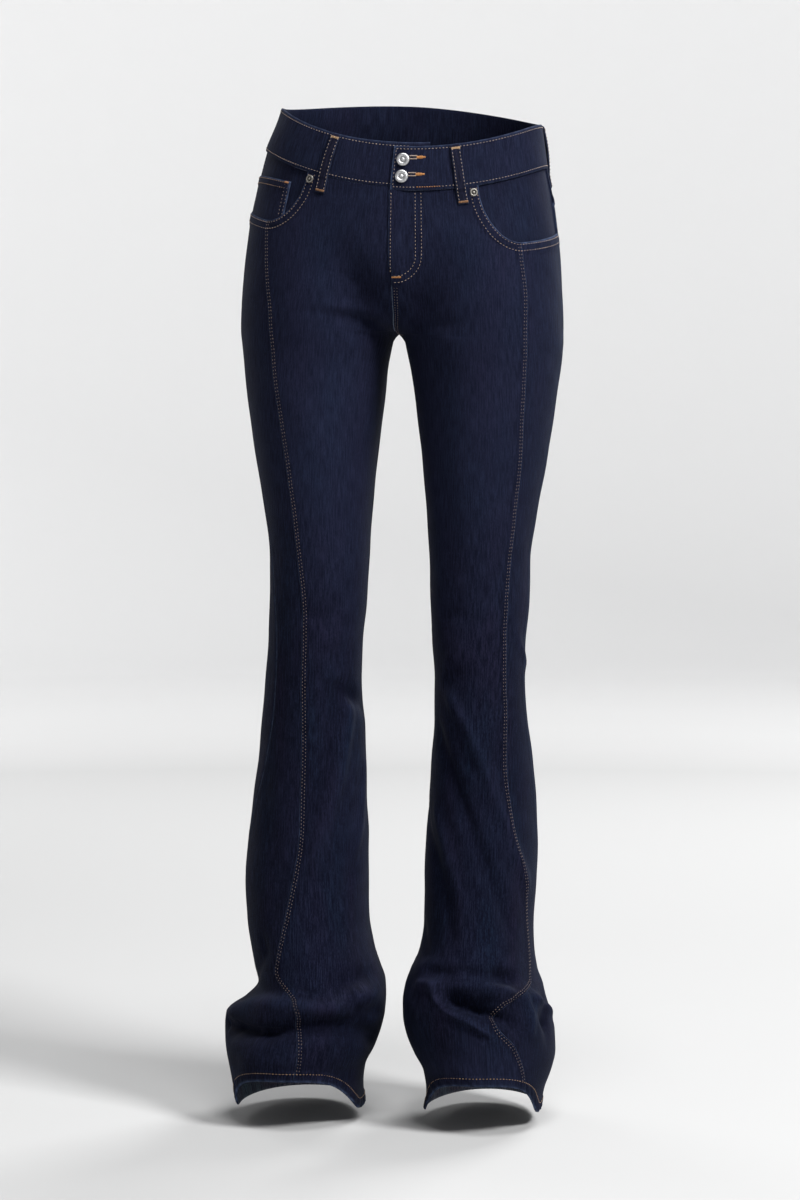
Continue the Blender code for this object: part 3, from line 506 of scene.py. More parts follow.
@dataclass
class Net:
    """Points over a piece of cloth, rows down and columns round, with their distances from its edges.

    start and end are the distances from the first and the last column, top and bottom those from the
    first and the last row, all measured along the cloth.
    """

    turn: Array
    row: Array
    points: Array
    normals: Array
    flip: bool

    def __post_init__(self) -> None:
        """Add up the steps between neighbouring points both ways."""
        across = np.linalg.norm(np.diff(self.points, axis=1), axis=2)
        down = np.linalg.norm(np.diff(self.points, axis=0), axis=2)
        self.start = np.pad(np.cumsum(across, axis=1), ((0, 0), (1, 0)))
        self.end = self.start[:, -1:] - self.start
        self.top = np.pad(np.cumsum(down, axis=0), ((1, 0), (0, 0)))
        self.bottom = self.top[-1:, :] - self.top

    def at(self, lift: Array) -> Array:
        """Points moved out along their normals by a lift in metres, one number or one for each."""
        return self.points + self.normals * np.broadcast_to(lift, self.turn.shape)[..., None]

    @property
    def flat(self) -> tuple[float, float, float]:
        """Widest width, longest length and area of the cloth laid flat."""
        one, two = np.diff(self.points, axis=0)[:, :-1], np.diff(self.points, axis=1)[:-1]
        area = float(np.linalg.norm(np.cross(one, two), axis=2).sum())
        return float(self.start[:, -1].max()), float(self.top[-1].max()), area


def leg_grain(net: Net, side: Side, back: bool = False) -> Array:
    """Distance round from the leg's middle, less the net's own, so that the grain runs along the leg.

    On the leg it is angle·radius about a smooth axis. On the hip it is x, and radius·asin(x/radius)
    outside the middle, with a slow change between the two.

    Args:
        net: a panel's net.
        side: the wearer's side.
        back: whether the middle is that of the back.

    Returns:
        Shifts.
    """
    out, deep, level = net.points[..., 0] * side.value, net.points[..., 1], net.points[..., 2]
    heights = np.array((-1.12, -0.95, -0.80, -0.60, -0.45, -0.30, -0.20, 0.02))
    axis = np.array(
        (0.123, 0.106, 0.112, 0.108, 0.105, 0.102, 0.095, 0.075) if side is Side.RIGHT
        else (0.082, 0.072, 0.074, 0.075, 0.077, 0.080, 0.078, 0.070)
    )
    radius = np.array((0.092, 0.083, 0.073, 0.058, 0.066, 0.082, 0.098, 0.110))
    off = out - curve_through(heights, axis, level)
    leg = np.arctan2(off, deep if back else -deep) * curve_through(heights, radius, level)
    hip_radius, thigh, fade, steepest = 0.1, -0.36, 0.13, 0.95
    hip = np.where(off < 0, off, hip_radius * np.arcsin(np.clip(off / hip_radius, 0.0, steepest)))
    return leg + (hip - leg) * ease((level - thigh) / fade) - net.start


def net_over(place: Place, turn: Array, row: Array, flip: bool) -> Net:
    """Net of a grid of turns and rows.

    Args:
        place: function of (turn, row) to points and lift directions.
        turn: way round at each grid point, or one line of them.
        row: height on the hip, likewise.
        flip: whether the columns run the other way round, as on the right half.

    Returns:
        The net.
    """
    turn, row = np.broadcast_arrays(turn, row)
    points, normals = place(turn, row)
    return Net(turn, row, points, normals, flip)


def spread(count: int, near: float, last: float = 1.0) -> Array:
    """Even steps from 0 to last with two extra ones at each end.

    Args:
        count: number of even steps.
        near: how far from each end the extra lines lie.
        last: the last of the numbers.

    Returns:
        Rising numbers.
    """
    steps = near * np.array((0.35, 1))
    return np.unique(np.concatenate((np.linspace(0, last, count + 1), steps, last - steps)))


def rolled(distance: Array, depth: float = 0.7 * MM, radius: float = 1.6 * MM) -> Array:
    """Fall of a folded edge: -depth·(1 - distance/radius)² within the radius."""
    return -depth * np.maximum(1 - distance / radius, 0.0) ** 2


def plateau(distance: Array, height: float, width: float, ramp: float = 2.0 * MM) -> Array:
    """Double cloth along an edge, with an inner slope: height·(1 - ease((distance - width)/ramp))."""
    return height * (1 - ease((distance - width) / ramp))


def roping(
    along: Array, distance: Array, height: float = 0.22 * MM, pitch: float = 9 * MM, width: float = 9 * MM,
    slant: float = 0.6,
) -> Array:
    """Ripples that sewing pulls into double cloth: height·sin(2π(along + slant·d)/pitch + drift)·fade.

    Args:
        along: distance along the edge.
        distance: from the edge.
        height: of the ripples.
        pitch: from one ripple to the next.
        width: how far in they fade out.
        slant: how far they lean along the edge for each metre off it.

    Returns:
        Lifts.
    """
    drift = 1.7 * np.sin(along / (pitch * 1.9)) + 1.1 * np.sin(along / (pitch * 4.3) + 1)
    wave = np.sin(2 * np.pi * (along + slant * distance) / pitch + drift)
    fade = np.exp(-(distance / width) ** 4) * (0.65 + 0.35 * np.sin(along / (pitch * 2.7)))
    return height * wave * fade


def pressed_seam(distance: Array) -> Array:
    """Edge of a plain seam: it rolls under, and its allowances lift the cloth beside it."""
    return rolled(distance, 0.5 * MM, 1.6 * MM) + plateau(distance, 0.35 * MM, 7 * MM)


def worn_line(distance: Array, along: Array, width: float) -> Array:
    """Wear of a fold's ridge, 0 to 1: exp(-(distance/width)²) broken up along it by slow waves."""
    patchy = 0.62 + 0.25 * np.sin(along * 410) + 0.13 * np.sin(along * 1130 + 2)
    return np.exp(-(distance / width) ** 2) * patchy


@dataclass
class ClothPiece:
    """A piece of cloth as a closed shell over a net, in place of one solid.

    lift and base are how far the outer face and the top of the inner wall stand off the form, wear is
    how worn the weave is, crest how high it lies on its folds, which pales worn fold tops and paints
    shade into the troughs, and grain shifts the weave's pattern.
    """

    node: str
    slot: Slot
    net: Net
    wall: float
    lift: Array
    wear: Array
    base: Array = 0.0
    hold: str = "hung"
    rests_on: tuple = ("cloth_waistband",)
    grain: "Array | float" = 0.0
    level_grain: bool = False
    ridge_wear_and_trough_shade: "Array | float" = 0.0

    @property
    def name(self) -> str:
        """Name of the piece that stands for the solid."""
        return "cloth_" + self.node

    def build(self, outside: Material, inside: Material) -> Piece:
        """Outer face, inner face a wall below it, and a rim of one strip that closes them.

        Args:
            outside: finish of the outer face and the rim.
            inside: finish of the inner face.

        Returns:
            The finished object, parented to the frame's body.
        """
        net = self.net
        lift = np.broadcast_to(self.lift, net.turn.shape)
        base = np.broadcast_to(self.base, net.turn.shape)
        outer = net.at(lift)
        inner = net.at(base - self.wall)
        rows, columns = net.turn.shape
        count = rows * columns
        index = np.arange(count).reshape(rows, columns)
        quads = np.stack((index[:-1, :-1], index[1:, :-1], index[1:, 1:], index[:-1, 1:]), -1).reshape(-1, 4)
        ring = np.concatenate((index[0, :-1], index[:-1, -1], index[-1, :0:-1], index[:0:-1, 0]))
        after = np.roll(ring, -1)
        rim = np.stack((ring, after, after + count, ring + count), -1)
        faces = np.concatenate((quads, rim, quads[:, ::-1] + count))
        if net.flip:
            faces = faces[:, ::-1]
        corners = np.concatenate((outer.reshape(-1, 3), inner.reshape(-1, 3)))
        mesh = even_mesh(self.name, corners, faces)
        face_side = np.zeros(len(faces), dtype=np.int32)
        face_side[len(quads) + len(rim):] = 1
        for finish in (outside, inside):
            mesh.materials.append(finish)
        mesh.polygons.foreach_set("material_index", face_side)
        across = net.start.mean(axis=0) if self.level_grain else net.start
        across = np.broadcast_to(across + self.grain, net.turn.shape)
        lay_uv(mesh, np.tile(np.stack((across, net.top), -1).reshape(-1, 2), (2, 1)))
        wear = np.broadcast_to(self.wear, net.turn.shape).ravel()
        add_number(mesh, "wear", np.concatenate((wear, wear * INNER_WEAR)))
        # Fold rise at each point: the denim pales worn fold tops and paints shade into the troughs.
        ridge_wear_and_trough_shade = np.broadcast_to(self.ridge_wear_and_trough_shade, net.turn.shape).ravel()
        add_number(mesh, "ridge_wear_and_trough_shade", np.tile(ridge_wear_and_trough_shade, 2))
        # Wear fade of thighs and seat, with painted light: upper legs paler than the calves and a painted
        # highlight over the foot.
        instep_highlight = INSTEP_HIGHLIGHT[Side.RIGHT if net.flip else Side.LEFT]
        add_number(mesh, "thigh", np.tile(fade_and_painted_light(net.turn.ravel(), outer[..., 2].ravel(), instep_highlight), 2))
        sharpen_rim(mesh, ring, count)
        piece = link(self.name, mesh, self.slot, self.node)
        width, length, area = net.flat
        area = min(area, width * length)
        LOG.info("%s: %d faces, cut %.0f x %.0f mm", self.name, len(faces), width / MM, length / MM)
        return piece


def sharpen_rim(mesh: Mesh, ring: Array, count: int) -> None:
    """Mark the edges of a shell's outer and inner face, between corners of the same face, as sharp.

    Args:
        mesh: the shell, its outer face's points first.
        ring: corners round the outer face.
        count: points of one face.
    """
    edge = np.zeros(2 * count, dtype=bool)
    edge[ring] = True
    edge[ring + count] = True
    ends = np.empty(2 * len(mesh.edges), dtype=np.int32)
    mesh.edges.foreach_get("vertices", ends)
    ends = ends.reshape(-1, 2)
    crisp = edge[ends].all(axis=1) & ((ends < count).all(axis=1) | (ends >= count).all(axis=1))
    mesh.attributes.new("sharp_edge", "BOOLEAN", "EDGE").data.foreach_set("value", crisp)


def fade_and_painted_light(turn: Array, level: Array, foot: float) -> Array:
    """Where denim is paler: fade from wear on the thigh's front and the seat, and painted light: the leg
    above the knee paler than below it, and a painted highlight over the foot.

    Args:
        turn: way round.
        level: heights.
        foot: strength of the painted highlight over the foot.

    Returns:
        Numbers from 0 to about 1.
    """
    thigh, seat = (0.34, 0.17, 0.12, -0.36, 0.17), (0.34, 0.80, 0.12, -0.17, 0.10)
    # A painted highlight over the foot.
    instep_highlight = (foot, 0.25, 0.13, -1.045, 0.038)
    knee, climb = -0.64, 0.27
    # Painted light: the whole leg above the knee paler than below it, as if lit more from above.
    fade = 0.50 * ease((level - knee) / climb)
    for share, at_turn, wide, at_level, high in (thigh, seat, instep_highlight):
        fade = fade + share * np.exp(-((turn - at_turn) / wide) ** 2 - ((level - at_level) / high) ** 2)
    return fade


def even_mesh(name: str, corners: Array, faces: Array) -> Mesh:
    """Mesh of faces that all have as many corners, filled in whole arrays.

    Args:
        name: the mesh's name.
        corners: points, one a row.
        faces: indices, one face a row.

    Returns:
        The mesh, shaded smooth.
    """
    mesh = bpy.data.meshes.new(name)
    mesh.vertices.add(len(corners))
    mesh.vertices.foreach_set("co", np.ascontiguousarray(corners, dtype=np.float32).ravel())
    mesh.loops.add(faces.size)
    mesh.loops.foreach_set("vertex_index", np.ascontiguousarray(faces, dtype=np.int32).ravel())
    mesh.polygons.add(len(faces))
    mesh.polygons.foreach_set("loop_start", np.arange(0, faces.size, faces.shape[1], dtype=np.int32))
    mesh.update(calc_edges=True)
    mesh.validate()
    mesh.shade_smooth()
    return mesh


def ring_quads(rings: int, around: int, first: int = 0) -> Array:
    """Quads between closed rings of corners that follow each other.

    Args:
        rings: number of rings.
        around: corners in each.
        first: index of the first ring's first corner.

    Returns:
        Indices, four a row.
    """
    step = np.arange(around)
    after = (step + 1) % around
    low = first + np.arange(rings - 1)[:, None] * around
    high = low + around
    return np.stack((low + step, high + step, high + after, low + after), -1).reshape(-1, 4)


def fan(hub: int, around: int, first: int = 0) -> Array:
    """Triangles from one corner to each step of a closed ring."""
    step = np.arange(around)
    return np.stack((np.full(around, hub), first + step, first + (step + 1) % around), -1)


def plain_mesh(name: str, corners: Array, faces: list, finish: Material) -> Mesh:
    """Smooth mesh of faces of any size.

    Args:
        name: the mesh's name.
        corners: points, one a row.
        faces: a list of indices for each face.
        finish: its material.

    Returns:
        The mesh.
    """
    mesh = bpy.data.meshes.new(name)
    mesh.from_pydata(corners.tolist(), [], faces)
    mesh.update()
    mesh.shade_smooth()
    mesh.materials.append(finish)
    return mesh


def lay_uv(mesh: Mesh, uv: Array) -> None:
    """Lay the cloth's own coordinates, metres round and down, on a mesh.

    Args:
        mesh: the mesh.
        uv: two numbers for each point.
    """
    corner = np.empty(len(mesh.loops), dtype=np.int32)
    mesh.loops.foreach_get("vertex_index", corner)
    layer = mesh.uv_layers.new(name="cloth")
    layer.data.foreach_set("uv", np.ascontiguousarray(uv[corner], dtype=np.float32).ravel())


def add_number(mesh: Mesh, name: str, values: Array) -> None:
    """Keep one number for each point of a mesh as an attribute of that name."""
    layer = mesh.attributes.new(name, "FLOAT", "POINT")
    layer.data.foreach_set("value", np.ascontiguousarray(values, dtype=np.float32))


def link(name: str, mesh: Mesh, slot: Slot, *nodes: str) -> Piece:
    """Object of a mesh that rides on the frame and stands for some nodes.

    Args:
        name: the object's name.
        mesh: its mesh, with its place in it.
        slot: the record's material slot; not used.
        nodes: solids that it replaces.

    Returns:
        The object.
    """
    piece = bpy.data.objects.new(name, mesh)
    bpy.context.scene.collection.objects.link(piece)
    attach(piece, BODY)
    if nodes:
        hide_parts(*nodes)
    return piece


@dataclass
class Cut:
    """Sizes that the pieces of cloth share.

    front_rows: from the band down to the crotch in mm, the first of them beside the pocket's mouth.
    upper_rows, break_rows: first, last and step. hem_rows: first, last and count.
    """

    wall: float = 1.5 * MM
    band_wall: float = 2.4 * MM
    patch_wall: float = 1.2 * MM
    felled: float = 0.7 * MM
    felled_width: float = 8.5 * MM
    mouth_width: float = 12 * MM
    hem_width: float = 13 * MM
    mouth_start: dict = field(default_factory=lambda: {Side.RIGHT: 0.195, Side.LEFT: 0.183})
    mouth_depth: dict = field(default_factory=lambda: {Side.RIGHT: 69 * MM, Side.LEFT: 75 * MM})
    mouth_climb: dict = field(default_factory=lambda: {Side.RIGHT: 3 * MM, Side.LEFT: 5 * MM})
    fly_lap: float = 3 * MM
    fly_lift: float = 1.9 * MM
    fly_end: float = -0.170
    fly_fade: float = 12 * MM
    fly_level: float = 7 * MM
    fly_slope: float = 14 * MM
    lap_end: float = -0.149
    lap_fade: float = 4 * MM
    lap_power: int = 8
    front_rows: tuple = (-47, -68, -89, -110, -130, -150, -169, -187, -203, -216, -226, -233, -237, -239)
    mouth_rows: int = 7
    upper_rows: tuple = (-0.243, -0.880, -4.6 * MM)
    break_rows: tuple = (-0.883, -1.076, -2.6 * MM)
    hem_rows: tuple = (-1.0775, -1.095, 13)
    half_girth: float = 0.475
    leg_girth: float = 0.5

    def fly_stand(self, off_edge: Array, row: Array) -> Array:
        """How far the fly's double cloth stands off: level beside its edge, then a slope down to 0."""
        on_fly = 1 - ease((self.fly_end - row) / self.fly_fade)
        return self.fly_lift * (1 - ease((off_edge - self.fly_level) / self.fly_slope)) * on_fly

    def mouth_bottom(self, side: Side) -> float:
        """Row where a pocket's mouth meets the long seam."""
        return WornForm.band_bottom - self.mouth_depth[side]

    def felled_edge(self, distance: Array) -> Array:
        """Edge of a felled seam: double cloth with a rolled edge."""
        return plateau(distance, self.felled, self.felled_width) + rolled(distance, 0.6 * MM, 1.6 * MM)

    def leg_rows(self) -> Array:
        """Rows from just under the crotch to the hem, closer where the leg breaks and at the fold."""
        leg, low = np.arange(*self.upper_rows), np.arange(*self.break_rows)
        return np.concatenate((leg, low, np.linspace(*self.hem_rows)))


@dataclass
class LegPanels:
    """Front centre, front side and back panel of one leg, waist to hem."""

    form: WornForm
    cut: Cut
    side: Side
    front_grid: tuple = (72, 56)
    side_grid: tuple = (40, 26)
    back_grid: tuple = (42, 78)
    crest_full: float = 6 * MM

    def hem_lift(self, net: Net) -> Array:
        """Hem turned up and sewn: a plateau with slanting ropes and a rolled edge.

        Args:
            net: the panel's net.

        Returns:
            Lifts.
        """
        cut = self.cut
        ropes = roping(net.turn * cut.leg_girth, net.bottom, 0.85 * MM, 11.5 * MM, 12 * MM, 0.7)
        double = plateau(net.bottom, 0.7 * MM, cut.hem_width - 2 * MM)
        return double + ropes + rolled(net.bottom, 1.0 * MM, 1.8 * MM)

    def hem_wear(self, net: Net, share: float = 0.65, width: float = 1.8 * MM) -> Array:
        """Wear along the hem's fold."""
        return share * worn_line(net.bottom, net.turn * self.cut.leg_girth, width)

    def ridge_wear_and_trough_shade(self, net: Net) -> Array:
        """Rise of the folds as a share of 6 mm, held to -1..1: fold tops fade with wear, troughs get painted
        shade.
        """
        level = self.form.level(self.side, net.turn, net.row)
        return np.clip(self.form.rise(self.side, net.turn, level) / self.crest_full, -1.0, 1.0)

    def front_centre(self) -> ClothPiece:
        """Between the centre front or inseam and the pocket mouth or long seam.

        Rows are straight mixes of an inner line of rows and an outer line that first runs round the
        mouth's quarter ellipse and then down the long seam.

        Returns:
            The piece.
        """
        form, cut, side = self.form, self.cut, self.side
        count, mouth_end = len(cut.front_rows), cut.mouth_rows - 1
        index = spread(self.front_grid[0], 0.12, count - 1)
        inner = np.interp(index, np.arange(count), cut.front_rows) * MM
        arc = np.clip(index / mouth_end, 0, 1) * math.pi / 2
        bottom = cut.mouth_bottom(side)
        seam_turn = form.long_seam(side, np.array([bottom]))[0]
        mouth = form.band_bottom - cut.mouth_depth[side] * np.sin(arc)
        way = np.clip((index - mouth_end) / (count - 1 - mouth_end), 0, 1)
        above = index < mouth_end
        outer = np.where(above, mouth, bottom + (form.crotch - bottom) * way)
        legs = cut.leg_rows()
        inner_row = np.concatenate((inner, legs))[:, None]
        outer_row = np.concatenate((outer, legs))[:, None]
        outer_turn = form.long_seam(side, outer_row)
        reach = seam_turn - cut.mouth_start[side]
        outer_turn[:len(index)][above, 0] = seam_turn - reach * np.cos(arc[above])
        share = spread(self.front_grid[1], 0.008)[None, :]
        turn = outer_turn * share
        if side is Side.LEFT:
            lapped = 1 - ease((cut.lap_end - inner_row) / cut.lap_fade)
            turn = turn - cut.fly_lap / cut.half_girth * lapped * (1 - share) ** cut.lap_power
        net = form.net(side, turn, inner_row + (outer_row - inner_row) * share)
        high = np.concatenate((index, np.full(len(legs), np.inf)))[:, None]
        on_mouth = 1 - ease((high - mouth_end + 0.4) / 0.8)
        width = cut.felled_width + (cut.mouth_width - cut.felled_width) * on_mouth
        double = 1 - ease((net.end - width) / (2 * MM))
        lift = double * (cut.felled + 0.3 * MM * on_mouth) + rolled(net.end)
        lift = lift + roping(net.top, net.end) + self.hem_lift(net)
        wear = worn_line(net.end, net.top, 1.1 * MM) * (0.30 + 0.34 * on_mouth) + self.hem_wear(net)
        if side is Side.LEFT:
            lift = lift + cut.fly_stand(net.start, inner_row) + rolled(net.start, 0.6 * MM, 1.5 * MM)
            lift = lift + roping(net.top, net.start, 0.18 * MM, 10 * MM, 8 * MM, 0.5)
            wear = wear + 0.25 * worn_line(net.start, net.top, 1.0 * MM)
        # Fold rise for worn fold tops and painted shade in the troughs, held darker over the felled seam's
        # double cloth.
        return ClothPiece(
            "front_centre_" + side.word, Slot.DENIM, net, cut.wall, lift, wear,
            grain=leg_grain(net, side) + 0.5, ridge_wear_and_trough_shade=self.ridge_wear_and_trough_shade(net) - 0.8 * double,
        )

    def front_side(self) -> ClothPiece:
        """Between the long seam and the side seam, under the pocket's mouth.

        Returns:
            The piece.
        """
        form, cut, side = self.form, self.cut, self.side
        upper = np.linspace(cut.mouth_bottom(side), form.crotch, self.side_grid[0])
        row = np.concatenate((upper, cut.leg_rows()))[:, None]
        share = spread(self.side_grid[1], 0.016)[None, :]
        fade = np.clip((row - form.crotch) / (upper[0] - form.crotch), 0.0, 1.0)
        row = row + cut.mouth_climb[side] * share ** 2 * fade
        near, far = form.long_seam(side, row), form.side_seam(side, row)
        net = form.net(side, near + (far - near) * share, row)
        lift = plateau(net.top, 1.0 * MM, cut.mouth_width) + rolled(net.top)
        lift = lift + roping(net.start, net.top) + rolled(net.start, 0.3 * MM, 1.5 * MM)
        lift = lift + self.hem_lift(net) + pressed_seam(net.end)
        wear = 0.6 * worn_line(net.top, net.start, 1.3 * MM) + 0.35 * worn_line(net.end, net.top, 1.0 * MM)
        return ClothPiece(
            "front_side_" + side.word, Slot.SIDE, net, cut.wall, lift, wear + self.hem_wear(net),
            grain=leg_grain(net, side) + 1.3, ridge_wear_and_trough_shade=self.ridge_wear_and_trough_shade(net),
        )

    def back(self) -> ClothPiece:
        """Between the side seam and the centre back or inseam, under the yoke.

        Returns:
            The piece.
        """
        form, cut, side = self.form, self.cut, self.side
        share = spread(self.back_grid[1], 0.006)[None, :]
        s = np.linspace(0, 1, self.back_grid[0])
        legs = cut.leg_rows()
        at_side, at_back = SeatPieces.yoke_side, SeatPieces.yoke_back
        side_row = np.concatenate((at_side + (form.crotch - at_side) * s, legs))[:, None]
        back_row = at_back + (form.crotch - at_back) * np.sin(s * math.pi / 2)
        back_row = np.concatenate((back_row, legs))[:, None]
        row = side_row + (back_row - side_row) * share
        near = form.side_seam(side, row)
        net = form.net(side, near + (1 - near) * share, row)
        lift = self.hem_lift(net) + pressed_seam(net.start) + rolled(net.top, 0.4 * MM, 1.5 * MM)
        if side is Side.LEFT:
            lift = lift + cut.felled_edge(net.end) * ease((row - form.crotch) / (10 * MM))
        wear = self.hem_wear(net, 0.8, 2.2 * MM) + 0.3 * worn_line(net.start, net.top, 1.0 * MM)
        return ClothPiece(
            "back_" + side.word, Slot.DENIM, net, cut.wall, lift, wear,
            grain=leg_grain(net, side, True) + 2.1, ridge_wear_and_trough_shade=self.ridge_wear_and_trough_shade(net),
        )

    def dress(self, outside: Material, panel: Material, inside: Material) -> None:
        """Build the three panels, the side one of its own denim, with the cloth's reverse inside."""
        for cloth, denim in ((self.front_centre, outside), (self.front_side, panel), (self.back, outside)):
            cloth().build(denim, inside)


@dataclass
class SeatPieces:
    """Yoke and patch pocket of one side of the seat."""

    form: WornForm
    cut: Cut
    side: Side
    yoke_side: float = -0.085
    yoke_back: float = -0.109
    pocket_top: float = -0.112
    pocket_corner: float = -0.220
    pocket_tip: float = 17 * MM
    pocket_inner: tuple = (33 * MM, 41 * MM)
    pocket_width: tuple = (136 * MM, 118 * MM)
    pocket_gap: float = 1.2 * MM
    yoke_grid: tuple = (17, 74)
    pocket_spans: tuple = (40, 42)

    def yoke(self) -> ClothPiece:
        """Between the band and the back panel, deepest at the centre.

        Returns:
            The piece.
        """
        form, cut, side = self.form, self.cut, self.side
        share = spread(self.yoke_grid[1], 0.006)[None, :]
        lower = self.yoke_side + (self.yoke_back - self.yoke_side) * share
        row = form.band_bottom + (lower - form.band_bottom) * spread(self.yoke_grid[0], 0.03)[:, None]
        near = form.side_seam(side, row)
        net = form.net(side, near + (1 - near) * share, row)
        lift = plateau(net.bottom, cut.felled, cut.felled_width) + rolled(net.bottom)
        lift = lift + roping(net.start, net.bottom, 0.2 * MM)
        lift = lift + pressed_seam(net.start)
        if side is Side.LEFT:
            lift = lift + cut.felled_edge(net.end)
        wear = 0.6 * worn_line(net.bottom, net.start, 1.2 * MM)
        return ClothPiece(
            "yoke_" + side.word, Slot.SIDE, net, cut.wall, lift, wear,
            grain=0.83, level_grain=True,
        )

    def pocket_grid(self, across: Array, down: Array) -> tuple[Array, Array]:
        """Turns and rows of a patch pocket: its width narrows and its lower edge comes to a point.

        Args:
            across: shares from the side to the centre back.
            down: shares from the top to the lower edge.

        Returns:
            Grids of turns and rows.
        """
        form, side = self.form, self.side
        lower = self.pocket_corner - self.pocket_tip * (1 - np.abs(2 * across - 1))
        fall = down[:, None]
        row = self.pocket_top + (lower - self.pocket_top)[None, :] * fall
        sweep = np.linspace(1.0, 0.45, 111)
        levels = np.linspace(self.pocket_top, self.pocket_corner - self.pocket_tip, 24)
        points, _ = form.place(side, sweep[None, :], levels[:, None])
        run = np.pad(np.cumsum(np.linalg.norm(np.diff(points, axis=1), axis=2), axis=1), ((0, 0), (1, 0)))
        inner = self.pocket_inner[0] + (self.pocket_inner[1] - self.pocket_inner[0]) * fall
        width = self.pocket_width[0] + (self.pocket_width[1] - self.pocket_width[0]) * fall
        found = []
        for line, length in zip(points, run):
            start = np.interp(inner, np.abs(line[:, 0] - line[0, 0]), length)
            found.append(np.interp(start + width * (1 - across)[None, :], length, sweep))
        last = len(levels) - 1
        picks = np.clip((levels[0] - row) / (levels[0] - levels[-1]) * last, 0, last - 0.001)
        low = picks.astype(int)
        part = picks - low
        found = np.stack(found)
        i, j = np.indices(row.shape)
        return found[low, i, j] * (1 - part) + found[low + 1, i, j] * part, row

    def pocket(self) -> ClothPiece:
        """Patch pocket with a doubled top edge and turned-in sides.

        Returns:
            The piece.
        """
        cut, side = self.cut, self.side
        down, across = (spread(count, 0.012) for count in self.pocket_spans)
        turn, row = self.pocket_grid(across, down)
        net = self.form.net(side, turn, row)
        base = self.pocket_gap + cut.patch_wall
        edge = np.minimum(np.minimum(net.start, net.end), net.bottom)
        lift = base + plateau(edge, 0.5 * MM, 9 * MM) + plateau(net.top, 0.7 * MM, 13 * MM)
        lift = lift + rolled(np.minimum(edge, net.top), 1.0 * MM, 1.8 * MM)
        lift = lift + roping(net.start, net.top, 0.25 * MM, width=10 * MM)
        wear = 0.55 * worn_line(edge, net.top + net.start, 1.2 * MM)
        wear = wear + 0.7 * worn_line(net.top, net.start, 1.3 * MM)
        return ClothPiece(
            "back_pocket_" + side.word, Slot.TRIM, net, cut.patch_wall, lift, wear, base=base, hold="laid",
            rests_on=("cloth_back_" + side.word,), grain=0.11, level_grain=True,
        )

    def dress(self, yoke: Material, pocket: Material, inside: Material) -> None:
        """Build the yoke and the pocket, with the cloth's reverse inside."""
        self.yoke().build(yoke, inside)
        self.pocket().build(pocket, inside)


@dataclass
class PocketLining:
    """Denim seen inside the scooped mouths, and the coin pocket on the right one."""

    form: WornForm
    cut: Cut
    tuck: float = 8 * MM
    gap: float = 0.8 * MM
    coin_inner: float = 0.239
    coin_outer: float = 0.499
    coin_tops: tuple = (-0.065, -0.077)

    def mouth_row(self, side: Side, turn: Array) -> Array:
        """Row of the mouth: -depth·√(1 - s²) to the long seam, then a climb with the square of the way.

        Args:
            side: the wearer's side.
            turn: way round.

        Returns:
            Rows.
        """
        cut = self.cut
        start = cut.mouth_start[side]
        meeting = self.form.long_seam(side, np.array([cut.mouth_bottom(side)]))[0]
        short = np.clip((meeting - turn) / (meeting - start), 0.0, 1.0)
        past = np.clip((turn - meeting) / (0.5 - meeting), 0.0, 1.0)
        depth = cut.mouth_depth[side] * np.sqrt(1 - short ** 2)
        return self.form.band_bottom - depth + cut.mouth_climb[side] * past ** 2

    def facing(self, side: Side) -> ClothPiece:
        """Denim behind a mouth, tucked under the front panels.

        Args:
            side: the wearer's side.

        Returns:
            The piece.
        """
        cut = self.cut
        tuck = self.tuck / cut.half_girth
        near = cut.mouth_start[side] - tuck
        turn = near + (0.5 - near) * np.linspace(0, 1, 44)[None, :]
        lower = self.mouth_row(side, turn + tuck) - self.tuck
        top = self.form.band_bottom
        row = top + (lower - top) * np.linspace(0, 1, 28)[:, None]
        net = self.form.net(side, turn, row)
        base = -(cut.wall + self.gap)
        rise = 0.9 * MM * (1 - ease(net.end / (5 * MM)))
        return ClothPiece(
            "facing_" + side.word, Slot.FACING, net, cut.patch_wall, base + rise, 0.0, base=base, grain=0.71,
            level_grain=True,
        )

    def coin_top(self, share: Array) -> tuple[Array, Array]:
        """Turns and rows of the coin pocket's top edge at shares of the way out."""
        turn = self.coin_inner + (self.coin_outer - self.coin_inner) * share
        return turn, self.coin_tops[0] + (self.coin_tops[1] - self.coin_tops[0]) * share

    def coin_pocket(self) -> ClothPiece:
        """Small patch with a doubled top, cut along the mouth.

        Returns:
            The piece.
        """
        cut = self.cut
        turn, upper = self.coin_top(spread(26, 0.025)[None, :])
        lower = self.mouth_row(Side.RIGHT, turn) + 0.3 * MM
        row = upper + (lower - upper) * spread(18, 0.04)[:, None]
        net = self.form.net(Side.RIGHT, turn, row)
        base = cut.patch_wall - cut.wall
        lift = base + plateau(net.top, 0.5 * MM, 9 * MM) + plateau(net.start, 0.4 * MM, 8 * MM)
        lift = lift + rolled(np.minimum(net.top, net.start), 0.6 * MM, 1.5 * MM)
        wear = 0.7 * worn_line(net.top, net.start, 1.2 * MM) + 0.55 * worn_line(net.start, net.top, 1.2 * MM)
        return ClothPiece(
            "coin_pocket", Slot.TRIM, net, cut.patch_wall, lift, wear, base=base, hold="laid",
            rests_on=("cloth_facing_right",), grain=0.2, level_grain=True,
        )

    def dress(self, facing: Material, coin: Material, inside: Material) -> None:
        """Build the facings and the coin pocket, with the cloth's reverse inside."""
        for cloth, denim in (*((self.facing(side), facing) for side in Side), (self.coin_pocket(), coin)):
            cloth.build(denim, inside)


